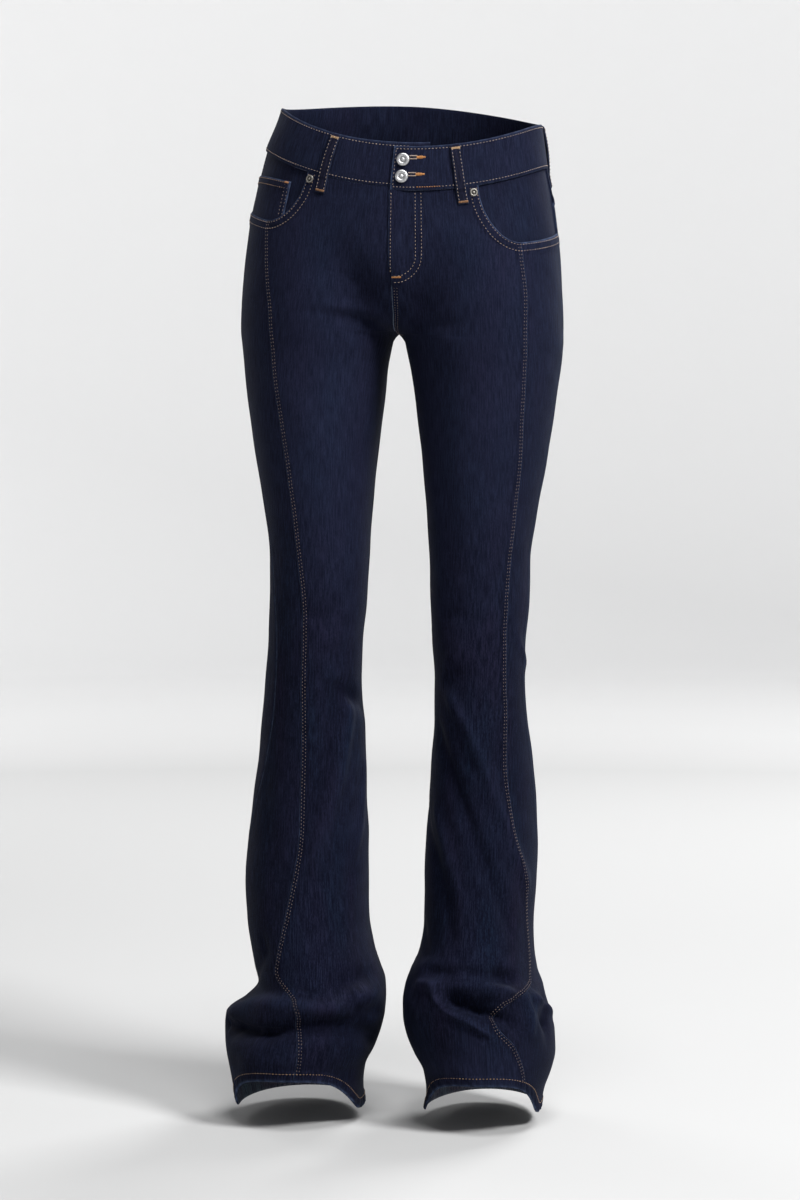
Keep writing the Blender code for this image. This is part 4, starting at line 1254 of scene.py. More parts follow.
@dataclass
class Waist:
    """The lapped waistband and its belt loops.

    loops: turn of the top and of the bottom of each, 0 to 1 on the left half and 2 to 1 on the right.
    """

    form: WornForm
    cut: Cut
    proud: float = 0.9 * MM
    over_lift: float = 1.9 * MM
    under_sink: float = 1.3 * MM
    tab_stands: float = 1 * MM
    over: tuple = (-0.004, 0.08, 0.22)
    under: tuple = (1.85, 1.994, 2.075)
    loops: tuple = ((1.858, 1.844), (0.132, 0.148), (1.44, 1.43), (0.56, 0.57), (1.0, 1.0))
    loop_width: float = 10.5 * MM
    loop_wall: float = 2.0 * MM
    loop_rows: tuple = (-1, -12, -24, -36, -45, -52, -60, -68)
    loop_arch: float = 1.6 * MM
    loop_middle: float = -0.024
    layer: float = 0.6 * MM
    overlap: float = 0.1 * MM
    groove: float = 0.25 * MM

    def stand(self, around: Array) -> Array:
        """How far the band's face stands off: raised at the upper end, sunk at the tab.

        Args:
            around: way round both halves.

        Returns:
            Lifts.
        """
        over = 1 - ease((around - self.over[1]) / (self.over[2] - self.over[1]))
        under = ease((around - self.under[0]) / (self.under[1] - self.under[0]))
        return self.proud + self.over_lift * over - self.under_sink * under

    def band(self) -> ClothPiece:
        """The band as one strip with its ends lapped at the centre front.

        Returns:
            The piece.
        """
        cut = self.cut
        around = np.concatenate((
            self.over[0] + np.array((0, 0.0012, 0.0035)), np.linspace(0.004, 1.99, 290),
            np.linspace(1.997, self.under[2], 12),
        ))[None, :]
        top = self.tab_stands * ease((around - self.under[0]) / (self.under[1] - self.under[0]))
        foot = self.form.band_bottom + self.overlap
        row = top + (foot - top) * spread(15, 0.025)[:, None]
        net = net_over(self.form.waist, around, row, False)
        stand = self.stand(net.turn)
        edge = np.minimum(np.minimum(net.top, net.bottom), net.start)
        lift = stand + rolled(edge, 0.8 * MM, 2.0 * MM)
        lift = lift + roping(net.start, net.bottom, 0.28 * MM, 8.5 * MM, 7 * MM, 0.7)
        lift = lift + roping(net.start, net.top, 0.22 * MM, 9.5 * MM, 7 * MM, -0.7)
        for distance in (net.bottom, net.top):
            lift = lift - self.groove * np.exp(-((distance - 3 * MM) / (1.4 * MM)) ** 2)
        wear = 0.30 * worn_line(net.top, net.start, 1.2 * MM)
        wear = wear + 0.14 * worn_line(net.bottom, net.start, 0.9 * MM)
        wear = wear + 0.75 * worn_line(net.start, net.top, 1.6 * MM)
        return ClothPiece(
            "waistband", Slot.TRIM, net, cut.band_wall, lift, wear, base=stand, hold="stretched", rests_on=(),
            grain=0.4, level_grain=True,
        )

    def loop_net(self, turns: tuple) -> Net:
        """Net of a belt loop, a straight strip over the band.

        Args:
            turns: its turn at the top and at the bottom.

        Returns:
            The net.
        """
        count = len(self.loop_rows)
        rows = np.interp(np.linspace(0, count - 1, 40), np.arange(count), self.loop_rows)[:, None] * MM
        fall = (rows - rows[0]) / (rows[-1] - rows[0])
        probe = np.array((-0.01, 0.01))
        ends, _ = self.form.waist(turns[0] + probe, np.full(2, self.loop_middle))
        half = self.loop_width / 2 / (np.linalg.norm(ends[1] - ends[0]) / np.ptp(probe))
        share = np.array((-1, -0.93, -0.78, -0.5, -0.2, 0, 0.2, 0.5, 0.78, 0.93, 1))[None, :]
        turn = turns[0] + (turns[1] - turns[0]) * fall + half * share
        return net_over(self.form.waist, turn, rows, False)

    def loop_stand(self, net: Net) -> Array:
        """Height of a loop's inner face: on the band, arched, and down on the panel below it.

        Args:
            net: the loop's net.

        Returns:
            Lifts.
        """
        bottom = self.form.band_bottom
        on_band = ease((net.row - bottom + 6 * MM) / (5 * MM))
        arch = np.sin(np.pi * np.clip(net.row / bottom, 0.0, 1.0)) * self.loop_arch
        return self.layer + self.stand(net.turn) * on_band + arch

    def loop(self, number: int) -> ClothPiece:
        """A belt loop with rounded edges and a sewn-down foot.

        Args:
            number: 1 to 5.

        Returns:
            The piece.
        """
        net = self.loop_net(self.loops[number - 1])
        base = self.loop_stand(net) + self.loop_wall
        edge = np.minimum(net.start, net.end)
        lift = base + rolled(edge, 0.8 * MM, 2.0 * MM)
        lift = lift - 0.3 * MM * np.exp(-((edge - 2.6 * MM) / (0.9 * MM)) ** 2)
        lift = lift + rolled(np.minimum(net.top, net.bottom), 0.9 * MM, 2.2 * MM)
        wear = 0.22 * worn_line(edge, net.top, 0.8 * MM) + 0.2 * worn_line(net.bottom, net.start, 1.2 * MM)
        return ClothPiece(
            "belt_loop_%d" % number, Slot.TRIM, net, self.loop_wall, lift, wear, base=base, hold="laid",
            grain=0.1 * number, level_grain=True,
        )

    def dress(self, denim: Material, loops: Material) -> None:
        """Build the band and its loops, each with its own denim inside too."""
        numbers = range(1, len(self.loops) + 1)
        for cloth, finish in ((self.band(), denim), *((self.loop(number), loops) for number in numbers)):
            cloth.build(finish, finish)


# ---- sewing

class Thread(Worded):
    """Sewing threads by their colour, as linear red, green and blue."""

    COPPER = (0.120, 0.084, 0.075)
    TAN = (0.235, 0.170, 0.130)
    GOLD = (0.260, 0.160, 0.082)
    ORANGE = (0.310, 0.125, 0.028)
    RUST = (0.140, 0.062, 0.022)
    BROWN = (0.250, 0.190, 0.155)
    PALE = (0.42, 0.40, 0.36)


@dataclass
class Track:
    """A line on the cloth that sewing follows, as turns and rows, with the cloth's lift under it."""

    place: Place
    turn: Array
    row: Array
    lift: "float | Array" = 0.0

    def __post_init__(self) -> None:
        """Give both lines the same length."""
        self.turn, self.row = (np.array(k, dtype=float) for k in np.broadcast_arrays(self.turn, self.row))

    def aside(self, distance: float, lift: float) -> "Track":
        """Line beside this one in the cloth, to the left of its way seen from outside.

        The shift solves slope_turn·dt + slope_row·dr = distance·(normal x along) by its components along
        the two slopes.

        Args:
            distance: metres.
            lift: of the cloth there.

        Returns:
            The shifted line.
        """
        points, normals = self.place(self.turn, self.row)
        along = np.gradient(points, axis=0)
        along /= np.linalg.norm(along, axis=1, keepdims=True)
        off = np.cross(normals, along) * distance
        across, down = self.slope(0.002, 0.0), self.slope(0.0, 1.0 * MM)
        a, b, c = ((k * m).sum(1) for k, m in ((across, across), (across, down), (down, down)))
        e, f = (across * off).sum(1), (down * off).sum(1)
        det = a * c - b * b
        turn, row = self.turn + (c * e - b * f) / det, self.row + (a * f - b * e) / det
        return Track(self.place, turn, row, lift)

    def slope(self, step: float, drop: float) -> Array:
        """Slope of the place function along the line, per unit of a step round or of a drop."""
        ahead, _ = self.place(self.turn + step, self.row + drop)
        behind, _ = self.place(self.turn - step, self.row - drop)
        return (ahead - behind) / (2 * (step + drop))

    def even(self, pitch: float, ends: tuple = (0.0, 0.0)) -> tuple[Array, Array, Array]:
        """Places at even steps along the line.

        Args:
            pitch: step in metres.
            ends: metres left off the start and the end.

        Returns:
            Points on the cloth, directions along the line and normals.
        """
        points, normals = self.place(self.turn, self.row)
        points = points + normals * np.broadcast_to(self.lift, (len(points),))[:, None]
        run = np.concatenate(([0.0], np.cumsum(np.linalg.norm(np.diff(points, axis=0), axis=1))))
        count = max(int(round((run[-1] - ends[0] - ends[1]) / pitch)), 2)
        at = np.linspace(ends[0] + pitch / 2, run[-1] - ends[1] - pitch / 2, count)
        near = 0.3 * MM
        spots, after, before, up = (
            np.stack([np.interp(where, run, line) for line in lines.T], 1)
            for where, lines in ((at, points), (at + near, points), (at - near, points), (at, normals))
        )
        ahead = after - before
        up /= np.linalg.norm(up, axis=1, keepdims=True)
        ahead -= up * (ahead * up).sum(1, keepdims=True)
        return spots, ahead / np.linalg.norm(ahead, axis=1, keepdims=True), up


class Drawn(Track):
    """A line already known as points and normals."""

    def __init__(self, points: Array, normals: Array) -> None:
        """Keep the line as a place function that reads no turns or rows."""
        super().__init__(lambda _turn, _row: (points, normals), 0.0, 0.0)


class OnBand(Drawn):
    """A line on the waistband, as far off as the band's face stands there."""

    def __init__(self, waist: Waist, around: Array, row: Array) -> None:
        """Read the line's points and move them out.

        Args:
            waist: whose band it is.
            around: way round both halves.
            row: height on the hip.
        """
        around, row = np.broadcast_arrays(around, row)
        points, normals = waist.form.waist(around, row)
        super().__init__(points + normals * waist.stand(around)[:, None], normals)


@dataclass
class Sewing:
    """Rows of stitches of one thread, collected and made as one piece.

    A stitch is a capsule along its own way: radius·√(1 - u⁸) round an axis that bends down by dip·u²,
    u running from -1 to 1 over its length.
    """

    name: str
    thread: Thread
    radius: float = 0.33 * MM
    length: float = 1.7 * MM
    pitch: float = 3.8 * MM
    dip: float = 0.45 * MM
    sides: int = 6
    rings: tuple = (-0.93, -0.62, 0.0, 0.62, 0.93)
    rng_seed: int = 7
    tack_angle: float = math.radians(84)
    tack_radius: float = 0.34 * MM
    tack_dip: float = 0.30 * MM
    stitches: list = field(default_factory=list)

    def template(self, length: float, radius: float, dip: float) -> Array:
        """Corners of a stitch along x, up z: two tips with rings of sides corners between them.

        Args:
            length: of the stitch.
            radius: of the thread.
            dip: how far the tips sink.

        Returns:
            Corners.
        """
        u = np.array(self.rings)
        round_it = np.arange(self.sides) * 2 * np.pi / self.sides
        size = radius * np.sqrt(1 - u ** 8)
        ring = np.stack((
            np.broadcast_to(u[:, None] * length / 2, (len(u), self.sides)),
            size[:, None] * np.cos(round_it),
            size[:, None] * np.sin(round_it) - dip * u[:, None] ** 2,
        ), -1).reshape(-1, 3)
        tips = np.array(((-length / 2, 0, -dip), (length / 2, 0, -dip)))
        return np.concatenate((tips, ring))

    def faces(self) -> Array:
        """Triangles of one stitch, over the template's corners."""
        n, side, spans = self.sides, np.arange(self.sides), len(self.rings) - 1
        after = (side + 1) % n
        parts = [fan(0, n, 2)[:, ::-1], fan(1, n, 2 + spans * n)[:, [1, 2, 0]]]
        for k in range(spans):
            a, b = 2 + k * n + side, 2 + k * n + after
            parts += [np.stack((a, b, b + n), -1), np.stack((a, b + n, a + n), -1)]
        return np.concatenate(parts)

    def add(self, places: tuple, length: float, radius: float, dip: float, turned: float = 0.0) -> None:
        """Stitches at given places, uneven in length by a few hundredths.

        Args:
            places: points on the cloth, directions and normals.
            length: of a stitch.
            radius: of the thread.
            dip: of the tips.
            turned: angle of the stitch off the line, radians.
        """
        spots, ahead, up = places
        across = np.cross(up, ahead)
        way = ahead * math.cos(turned) + across * math.sin(turned)
        side = np.cross(up, way)
        form = self.template(length, radius, dip)
        rng = np.random.default_rng(self.rng_seed + len(self.stitches))
        size = 1 + 0.07 * rng.standard_normal((len(spots), 1, 1))
        proud = radius * 0.55
        corners = (
            spots[:, None] + way[:, None] * form[None, :, :1] * size + side[:, None] * form[None, :, 1:2]
            + up[:, None] * (form[None, :, 2:] + proud)
        )
        tone = np.clip(0.5 + 0.22 * rng.standard_normal(len(spots)), 0, 1)
        self.stitches.append((corners, np.repeat(tone, corners.shape[1])))

    def row(self, track: Track, ends: tuple = (0.0, 0.0)) -> None:
        """A plain row of lockstitch along a line, with metres left off its ends."""
        self.add(track.even(self.pitch, ends), self.length, self.radius, self.dip)

    def tack(self, track: Track, width: float, pitch: float = 0.55 * MM) -> None:
        """A bartack or buttonhole edge: close stitches of that width across the line."""
        self.add(track.even(pitch), width, self.tack_radius, self.tack_dip, self.tack_angle)

    def build(self, finish: Material) -> Piece:
        """Join the stitches into one piece.

        Args:
            finish: the thread's material.

        Returns:
            The object.
        """
        corners = np.concatenate([k.reshape(-1, 3) for k, _ in self.stitches])
        each = self.template(1, 1, 0).shape[0]
        count = len(corners) // each
        faces = (self.faces()[None] + np.arange(count)[:, None, None] * each).reshape(-1, 3)
        name = "sewing_" + self.name
        mesh = even_mesh(name, corners, faces)
        add_number(mesh, "tone", np.concatenate([t for _, t in self.stitches]))
        mesh.materials.append(finish)
        piece = link(name, mesh, Slot.TRIM)
        LOG.info("%s: %d stitches", name, count)
        return piece


# ---- metal

@dataclass
class Turned:
    """A small metal piece turned about the cloth's normal.

    profile: (radius, height, patina) in mm from the face's centre out and round to the underside's centre.
    """

    node: str
    slot: Slot
    profile: tuple
    segments: int = 56

    def build(self, point: Array, axis: Array, finish: Material) -> Piece:
        """Turn the profile: point + radius·(cos a·side + sin a·other) + height·axis.

        Args:
            point: where the axis meets the cloth.
            axis: unit vector.
            finish: the metal.

        Returns:
            The object.
        """
        profile = np.array([row[:2] for row in self.profile]) * MM
        patina = np.array([row[2] if len(row) > 2 else 0.5 for row in self.profile])
        side = np.cross(axis, (0.0, 0.0, 1.0))
        side /= np.linalg.norm(side)
        other = np.cross(axis, side)
        a = np.arange(self.segments) * 2 * np.pi / self.segments
        ring = np.cos(a)[:, None] * side + np.sin(a)[:, None] * other
        inner = profile[1:-1]
        body = point + inner[:, None, :1] * ring[None] + inner[:, None, 1:] * axis
        ends = point + profile[[0, -1]][:, 1:] * axis
        corners = np.concatenate((ends, body.reshape(-1, 3)))
        n, rings = self.segments, len(inner)
        last = fan(1, n, 2 + (rings - 1) * n)[:, [0, 2, 1]]
        faces = ring_quads(rings, n, 2).tolist() + fan(0, n, 2).tolist() + last.tolist()
        mesh = plain_mesh(self.node + "_metal", corners, faces, finish)
        add_number(mesh, "patina", np.concatenate((patina[[0, -1]], np.repeat(patina[1:-1], n))))
        piece = link(self.node + "_metal", mesh, self.slot, self.node)
        LOG.info("%s: turned, %d faces", self.node, len(mesh.polygons))
        return piece


# ---- finishes

class Wire:
    """A shader socket or a number, whose arithmetic adds Math nodes to its material."""

    def __init__(self, shader: "Shader", value: "Socket | float") -> None:
        """Wrap one socket or number."""
        self.shader = shader
        self.value = value

    def math(self, operation: str, *others: "Wire | float", clamp: bool = False) -> "Wire":
        """Math node of this and other inputs, held to 0..1 by clamp."""
        inputs = dict(enumerate((self, *others)))
        return self.shader.node("ShaderNodeMath", {"operation": operation, "use_clamp": clamp}, inputs)

    def __add__(self, other: "Wire | float") -> "Wire":
        """Sum."""
        return self.math("ADD", other)

    def __sub__(self, other: "Wire | float") -> "Wire":
        """Difference."""
        return self.math("SUBTRACT", other)

    def __rsub__(self, other: "Wire | float") -> "Wire":
        """Difference, number first."""
        return Wire(self.shader, other).math("SUBTRACT", self)

    def __mul__(self, other: "Wire | float") -> "Wire":
        """Product."""
        return self.math("MULTIPLY", other)

    def __truediv__(self, other: "Wire | float") -> "Wire":
        """Quotient."""
        return self.math("DIVIDE", other)

    def __rtruediv__(self, other: "Wire | float") -> "Wire":
        """Quotient, number first."""
        return Wire(self.shader, other).math("DIVIDE", self)

    __radd__ = __add__
    __rmul__ = __mul__

    def held(self) -> "Wire":
        """Value held to 0..1."""
        return self.math("ADD", 0.0, clamp=True)


class Shader:
    """A material's node tree with one Principled surface."""

    def __init__(self, name: str) -> None:
        """Start the tree with its output and surface.

        Args:
            name: the material's name.
        """
        self.material = bpy.data.materials.new(name)
        self.material.use_nodes = True
        self.tree = self.material.node_tree
        self.tree.nodes.clear()
        self.surface = self.tree.nodes.new("ShaderNodeBsdfPrincipled")
        output = self.tree.nodes.new("ShaderNodeOutputMaterial")
        self.tree.links.new(self.surface.outputs[0], output.inputs["Surface"])

    def node(self, kind: str, settings: dict, inputs: dict, output: "int | str" = 0) -> Wire:
        """Any node: its settings first, then its inputs.

        Args:
            kind: the node's type.
            settings: attributes of the node.
            inputs: wires or plain values by socket name or number.
            output: the socket that is wanted.

        Returns:
            That output.
        """
        made = self.tree.nodes.new(kind)
        for key, value in settings.items():
            setattr(made, key, value)
        for key, value in inputs.items():
            self.feed(made.inputs[key], value)
        return Wire(self, made.outputs[output])

    def feed(self, socket: Socket, value: "Wire | float | tuple") -> None:
        """Link a wire to a socket, or set the socket's value.

        Args:
            socket: where to.
            value: what.
        """
        inner = value.value if isinstance(value, Wire) else value
        if isinstance(inner, Socket):
            self.tree.links.new(inner, socket)
        else:
            socket.default_value = inner

    def attribute(self, name: str) -> Wire:
        """Number that the mesh keeps at its points."""
        return self.node("ShaderNodeAttribute", {"attribute_name": name}, {}, "Fac")

    def cloth(self) -> tuple[Wire, Wire]:
        """Metres across and down the cloth."""
        uv = self.node("ShaderNodeUVMap", {"uv_map": "cloth"}, {})
        split = self.tree.nodes.new("ShaderNodeSeparateXYZ")
        self.tree.links.new(uv.value, split.inputs[0])
        return Wire(self, split.outputs[0]), Wire(self, split.outputs[1])

    def point(self) -> Wire:
        """Object coordinates."""
        return self.node("ShaderNodeTexCoord", {}, {}, "Object")

    def join(self, x: "Wire | float", y: "Wire | float", z: "Wire | float" = 0.0) -> Wire:
        """Vector of three numbers."""
        return self.node("ShaderNodeCombineXYZ", {}, {0: x, 1: y, 2: z})

    def noise(self, vector: Wire, scale: float, detail: float = 3.0, rough: float = 0.55) -> Wire:
        """Noise about 0.5, mostly 0.25 to 0.75, of so many octaves with that fall-off."""
        inputs = {"Vector": vector, "Scale": scale, "Detail": detail, "Roughness": rough}
        return self.node("ShaderNodeTexNoise", {}, inputs)

    def blend(self, share: "Wire | float", one: "Wire | tuple", two: "Wire | tuple") -> Wire:
        """Colour between two.

        Args:
            share: 0 for the first, 1 for the second.
            one: first colour.
            two: second colour.

        Returns:
            The mixed colour.
        """
        one = one if isinstance(one, Wire) else (*one, 1.0)
        two = two if isinstance(two, Wire) else (*two, 1.0)
        settings = {"data_type": "RGBA", "clamp_factor": True}
        return self.node("ShaderNodeMix", settings, {0: share, 6: one, 7: two}, 2)

    def bump(self, height: Wire, depth: float, strength: float = 1.0) -> Wire:
        """Normal of a height field of about 0 to 1 that is depth metres deep."""
        return self.node("ShaderNodeBump", {}, {"Strength": strength, "Distance": depth, "Height": height})

    def set(self, **values: "Wire | float | tuple") -> Material:
        """Feed the surface's sockets, with _ for a space in their names.

        Args:
            values: by socket.

        Returns:
            The material.
        """
        for key, value in values.items():
            self.feed(self.surface.inputs[key.replace("_", " ")], value)
        return self.material


@dataclass(frozen=True)
class Denim:
    """Indigo twill: vertical slubs, a fine diagonal rib, pale yarn ends, worn fold tops and painted shade in
    fold troughs.

    Colours are linear. slub is how strongly pale warp yarns show, rib the height of the diagonal. faded is
    the paler colour of worn thighs and seat, also laid on the upper legs and over the feet as painted light.
    """

    name: str
    deep: tuple
    pale: tuple
    faded_and_lit: tuple = (0.0125, 0.0155, 0.0360)
    worn: tuple = (0.085, 0.120, 0.215)
    slub: float = 1.0
    rib: float = 1.0
    rib_pitch: float = 1.3 * MM
    sheen: float = 0.015

    def material(self) -> Material:
        """Build the material."""
        s = Shader(self.name)
        u, v = s.cloth()
        slub = s.noise(s.join(u * 900.0, v * 48.0), 1.0, 4.0, 0.62) - 0.5
        yarn = s.noise(s.join(u * 2600.0, v * 300.0, 4.0), 1.0, 2.0, 0.6) - 0.5
        blotch = s.noise(s.point(), 11.0, 3.0, 0.5) - 0.5
        rib = ((u * 0.82 + v) * (2 * math.pi / self.rib_pitch)).math("SINE")
        # Painted shade: fold troughs darken the cloth, while worn fold tops pale it.
        ridge_wear_and_trough_shade = s.attribute("ridge_wear_and_trough_shade") * 0.30
        light = 0.33 + slub * (4.7 * self.slub) + yarn * (3.8 * self.slub) + blotch * 0.8 + rib * 0.05
        drift = (s.noise(s.join(u * 26.0, v * 7.0, 9.0), 1.0, 2.0, 0.5) * 2.4 - 0.7).held()
        warm = tuple(k * m for k, m in zip(self.pale, (1.22, 0.90, 0.95)))
        cool = tuple(k * m for k, m in zip(self.pale, (0.80, 1.10, 1.06)))
        colour = s.blend((light + ridge_wear_and_trough_shade).held(), self.deep, s.blend(drift, cool, warm))
        # Wear fade of thighs and seat, with painted light: upper legs paler than the calves and a painted
        # highlight over the foot.
        thigh = (s.attribute("thigh") * (0.45 + slub * 0.9)).held()
        colour = s.blend(thigh, colour, self.faded_and_lit)
        wear = (s.attribute("wear") * (0.70 + slub * 1.2 + yarn * 1.4)).held()
        colour = s.blend(wear, colour, self.worn)
        height = rib * (0.5 * self.rib) + slub * 1.0 + yarn * 0.7
        return s.set(
            Base_Color=colour, Roughness=(0.88 + yarn * 0.2).held(), Normal=s.bump(height, 0.10 * MM, 0.9),
            Specular_IOR_Level=0.05, Sheen_Weight=self.sheen, Sheen_Roughness=0.5,
            Sheen_Tint=(0.35, 0.45, 0.85, 1),
        )


@dataclass(frozen=True)
class ThreadFinish:
    """Twisted sewing thread: its own colour, lighter and darker from stitch to stitch."""

    thread: Thread

    def material(self) -> Material:
        """Build the material."""
        s = Shader("thread_" + self.thread.word)
        dark = tuple(k * 0.55 for k in self.thread.value)
        light = tuple(min(k * 1.35, 1.0) for k in self.thread.value)
        twist = s.noise(s.point(), 2600.0, 1.0)
        share = (s.attribute("tone") * 0.9 + twist * 0.7 - 0.3).held()
        return s.set(
            Base_Color=s.blend(share, dark, light), Roughness=0.62, Specular_IOR_Level=0.35,
            Sheen_Weight=0.15, Normal=s.bump(twist, 0.05 * MM, 0.6),
        )


@dataclass(frozen=True)
class Metal:
    """Worn plated metal with fine pits and darker stains."""

    name: str
    bright: tuple
    stain: tuple
    rough: float
    stained: float

    def material(self) -> Material:
        """Build the material."""
        s = Shader(self.name)
        pits = s.noise(s.point(), 1400.0, 3.0)
        spots = (s.noise(s.point(), 700.0, 3.0) - 0.5) * 1.6
        stain = (spots + s.attribute("patina") * 0.85 + self.stained).held()
        return s.set(
            Base_Color=s.blend(stain, self.bright, self.stain), Metallic=1.0,
            Roughness=(self.rough + stain * 0.25 + (pits - 0.5) * 0.2).held(),
            Normal=s.bump(pits, 0.06 * MM, 0.5),
        )


@dataclass(frozen=True)
class Plain:
    """Matt studio paint, faintly mottled, with painted shade: greyer in the middle of the floor where the
    lamps light it most, and painted light: paler towards the wall where their light falls off.
    """

    name: str
    near: tuple
    far: tuple
    starts: float = 3.75
    width: float = 2.4

    def material(self) -> Material:
        """Build the material."""
        s = Shader(self.name)
        mottle = s.noise(s.point(), 3.0)
        reach = s.node("ShaderNodeVectorMath", {"operation": "LENGTH"}, {0: s.point()}, "Value")
        # Painted shade near the middle and painted light further out, evening out the lamps.
        share = ((reach - self.starts) / self.width + mottle * 0.03).held()
        return s.set(Base_Color=s.blend(share, self.near, self.far), Roughness=0.9, Specular_IOR_Level=0.1)


# ---- sewing on the pieces

@dataclass
class Seamstress:
    """Where the rows of stitches, bartacks and buttonholes are."""

    form: WornForm
    cut: Cut
    waist: Waist
    lining: PocketLining
    seat: dict
    fly_rows: tuple = (-60, -134)
    fly_turns: tuple = (0.048, 0.060)
    fly_feet: tuple = (-0.162, -0.170)
    hem_inset: float = 10.5 * MM
    fine_length: float = 1.4 * MM
    pocket_width: float = 127 * MM
    pocket_depth: float = 115 * MM

    def rows_beside(self, name: str, thread: Thread, tracks: list, ends: tuple = (0.0, 0.0)) -> Sewing:
        """Plain rows along several lines.

        Args:
            name: the sewing's name.
            thread: its thread.
            tracks: the lines.
            ends: metres left off each line's ends.

        Returns:
            The sewing.
        """
        sewing = Sewing(name, thread, length=self.fine_length if thread is Thread.COPPER else Sewing.length)
        for track in tracks:
            sewing.row(track, ends)
        return sewing

    def long_seams(self, side: Side) -> list[Sewing]:
        """Two rows beside the long seam, on the centre panel.

        Args:
            side: the wearer's side.

        Returns:
            The sewing.
        """
        upper = np.arange(self.cut.mouth_bottom(side) - 4 * MM, -0.90, -6 * MM)
        row = np.concatenate((upper, np.arange(-0.90, -1.081, -2.5 * MM)))
        seam = Track(self.form.half(side), self.form.long_seam(side, row), row)
        tracks = [seam.aside(-k * MM * side.value, self.cut.felled) for k in (2.4, 5.2)]
        return [self.rows_beside("long_seam_" + side.word, Thread.COPPER, tracks)]

    def hems(self, side: Side) -> list[Sewing]:
        """One row round a leg above its hem.

        Args:
            side: the wearer's side.

        Returns:
            The sewing.
        """
        cut = self.cut
        edge = Track(self.form.half(side), np.linspace(0, 1, 260), self.form.hem)
        line = edge.aside(self.hem_inset * side.value, 0.0)
        off_seam = (self.form.long_seam(side, line.row) - line.turn) * cut.leg_girth
        felled = np.where(off_seam > 0, 1 - ease((off_seam - cut.felled_width) / (2 * MM)), 0.0)
        line.lift = cut.felled * (1 + felled) + 0.1 * MM
        return [self.rows_beside("hem_" + side.word, Thread.GOLD, [line])]

    def mouths(self, side: Side) -> list[Sewing]:
        """Two rows along a pocket's mouth.

        Args:
            side: the wearer's side.

        Returns:
            The sewing.
        """
        cut = self.cut
        seam = self.form.long_seam(side, np.array([cut.mouth_bottom(side)]))[0]
        arc = np.linspace(0, math.pi / 2, 60)
        turn = seam - (seam - cut.mouth_start[side]) * np.cos(arc)
        row = self.form.band_bottom - cut.mouth_depth[side] * np.sin(arc)
        past = np.linspace(0.02, 1, 50)
        turn = np.concatenate((turn, seam + (0.5 - seam) * past))
        row = np.concatenate((row, cut.mouth_bottom(side) + cut.mouth_climb[side] * past ** 2))
        edge = Track(self.form.half(side), turn, row)
        tracks = [edge.aside(-k * MM * side.value, 1.0 * MM) for k in (2.3, 9.2)]
        sewing = self.rows_beside("mouth_" + side.word, Thread.TAN, tracks, (1.5 * MM, 1.5 * MM))
        tack = Sewing("mouth_tack_" + side.word, Thread.PALE if side is Side.LEFT else Thread.ORANGE)
        line = Track(edge.place, turn[-4:], row[-4:]).aside(-3 * MM * side.value, 1.0 * MM)
        tack.tack(line, 6 * MM)
        return [sewing, tack]

    def fly(self) -> list[Sewing]:
        """The fly's curved double row, its edge row, the crotch seam's row and the bartack.

        Returns:
            The sewing.
        """
        place, cut = self.form.half(Side.LEFT), self.cut
        tracks = []
        for turn, foot in zip(self.fly_turns, self.fly_feet):
            down = np.linspace(self.fly_rows[0] * MM + 0.011, self.fly_rows[1] * MM, 40)
            arc = np.linspace(0.03, 1, 36) * math.pi / 2
            row = np.concatenate((down, down[-1] + (foot - down[-1]) * np.sin(arc)))
            across = np.concatenate((np.full(40, turn), 0.004 + (turn - 0.004) * np.cos(arc)))
            lift = cut.fly_stand(across * cut.half_girth, row) + 0.1 * MM
            tracks.append(Track(place, across, row, lift))
        edge = Track(place, -cut.fly_lap / cut.half_girth, np.linspace(-0.050, -0.158, 50))
        tracks.append(edge.aside(2.6 * MM, cut.fly_lift))
        seam = Track(place, 0.0, np.linspace(-0.176, -0.238, 40))
        sewing = self.rows_beside("fly", Thread.TAN, tracks)
        crotch = self.rows_beside("crotch", Thread.COPPER, [seam.aside(k * MM, 0.0) for k in (2.6, 5.6)])
        tack = Sewing("fly_tack", Thread.ORANGE)
        across = np.linspace(0.0005, 0.019, 12)
        row = np.linspace(-0.1635, -0.1625, 12)
        tack.tack(Track(place, across, row, cut.fly_stand(across * cut.half_girth, row)), 1.9 * MM)
        return [sewing, crotch, tack]

    def band(self) -> list[Sewing]:
        """Rows round the band near its top, bottom and upper end, a bartack and two buttonholes.

        Returns:
            The sewing.
        """
        waist, around = self.waist, np.linspace(0.0, 2.03, 420)
        rows = Sewing("band", Thread.BROWN)
        low = -0.0438
        for row, line in ((-0.0032, around), (low, around[around < 0.05]), (low, around[around > 0.101])):
            rows.row(OnBand(waist, line, row))
        rows.row(OnBand(waist, waist.over[0] + 0.0058, np.linspace(-0.004, -0.043, 40)))
        tacks = Sewing("band_tacks", Thread.ORANGE, pitch=2.7 * MM, radius=0.40 * MM)
        tacks.row(OnBand(waist, np.linspace(0.050, 0.101, 40), -0.0436))
        holes = Sewing("buttonholes", Thread.BROWN)
        for row in (-0.0120, -0.0300):
            for off in (-1.6, 1.6):
                holes.tack(OnBand(waist, np.linspace(0.032, 0.049, 30), row + off * MM), 1.4 * MM, 0.70 * MM)
            for start, end, width in ((0.048, 0.061, 3.3), (0.0605, 0.067, 2.1)):
                tacks.tack(OnBand(waist, np.linspace(start, end, 20), row), width * MM, 0.5 * MM)
        return [rows, tacks, holes]

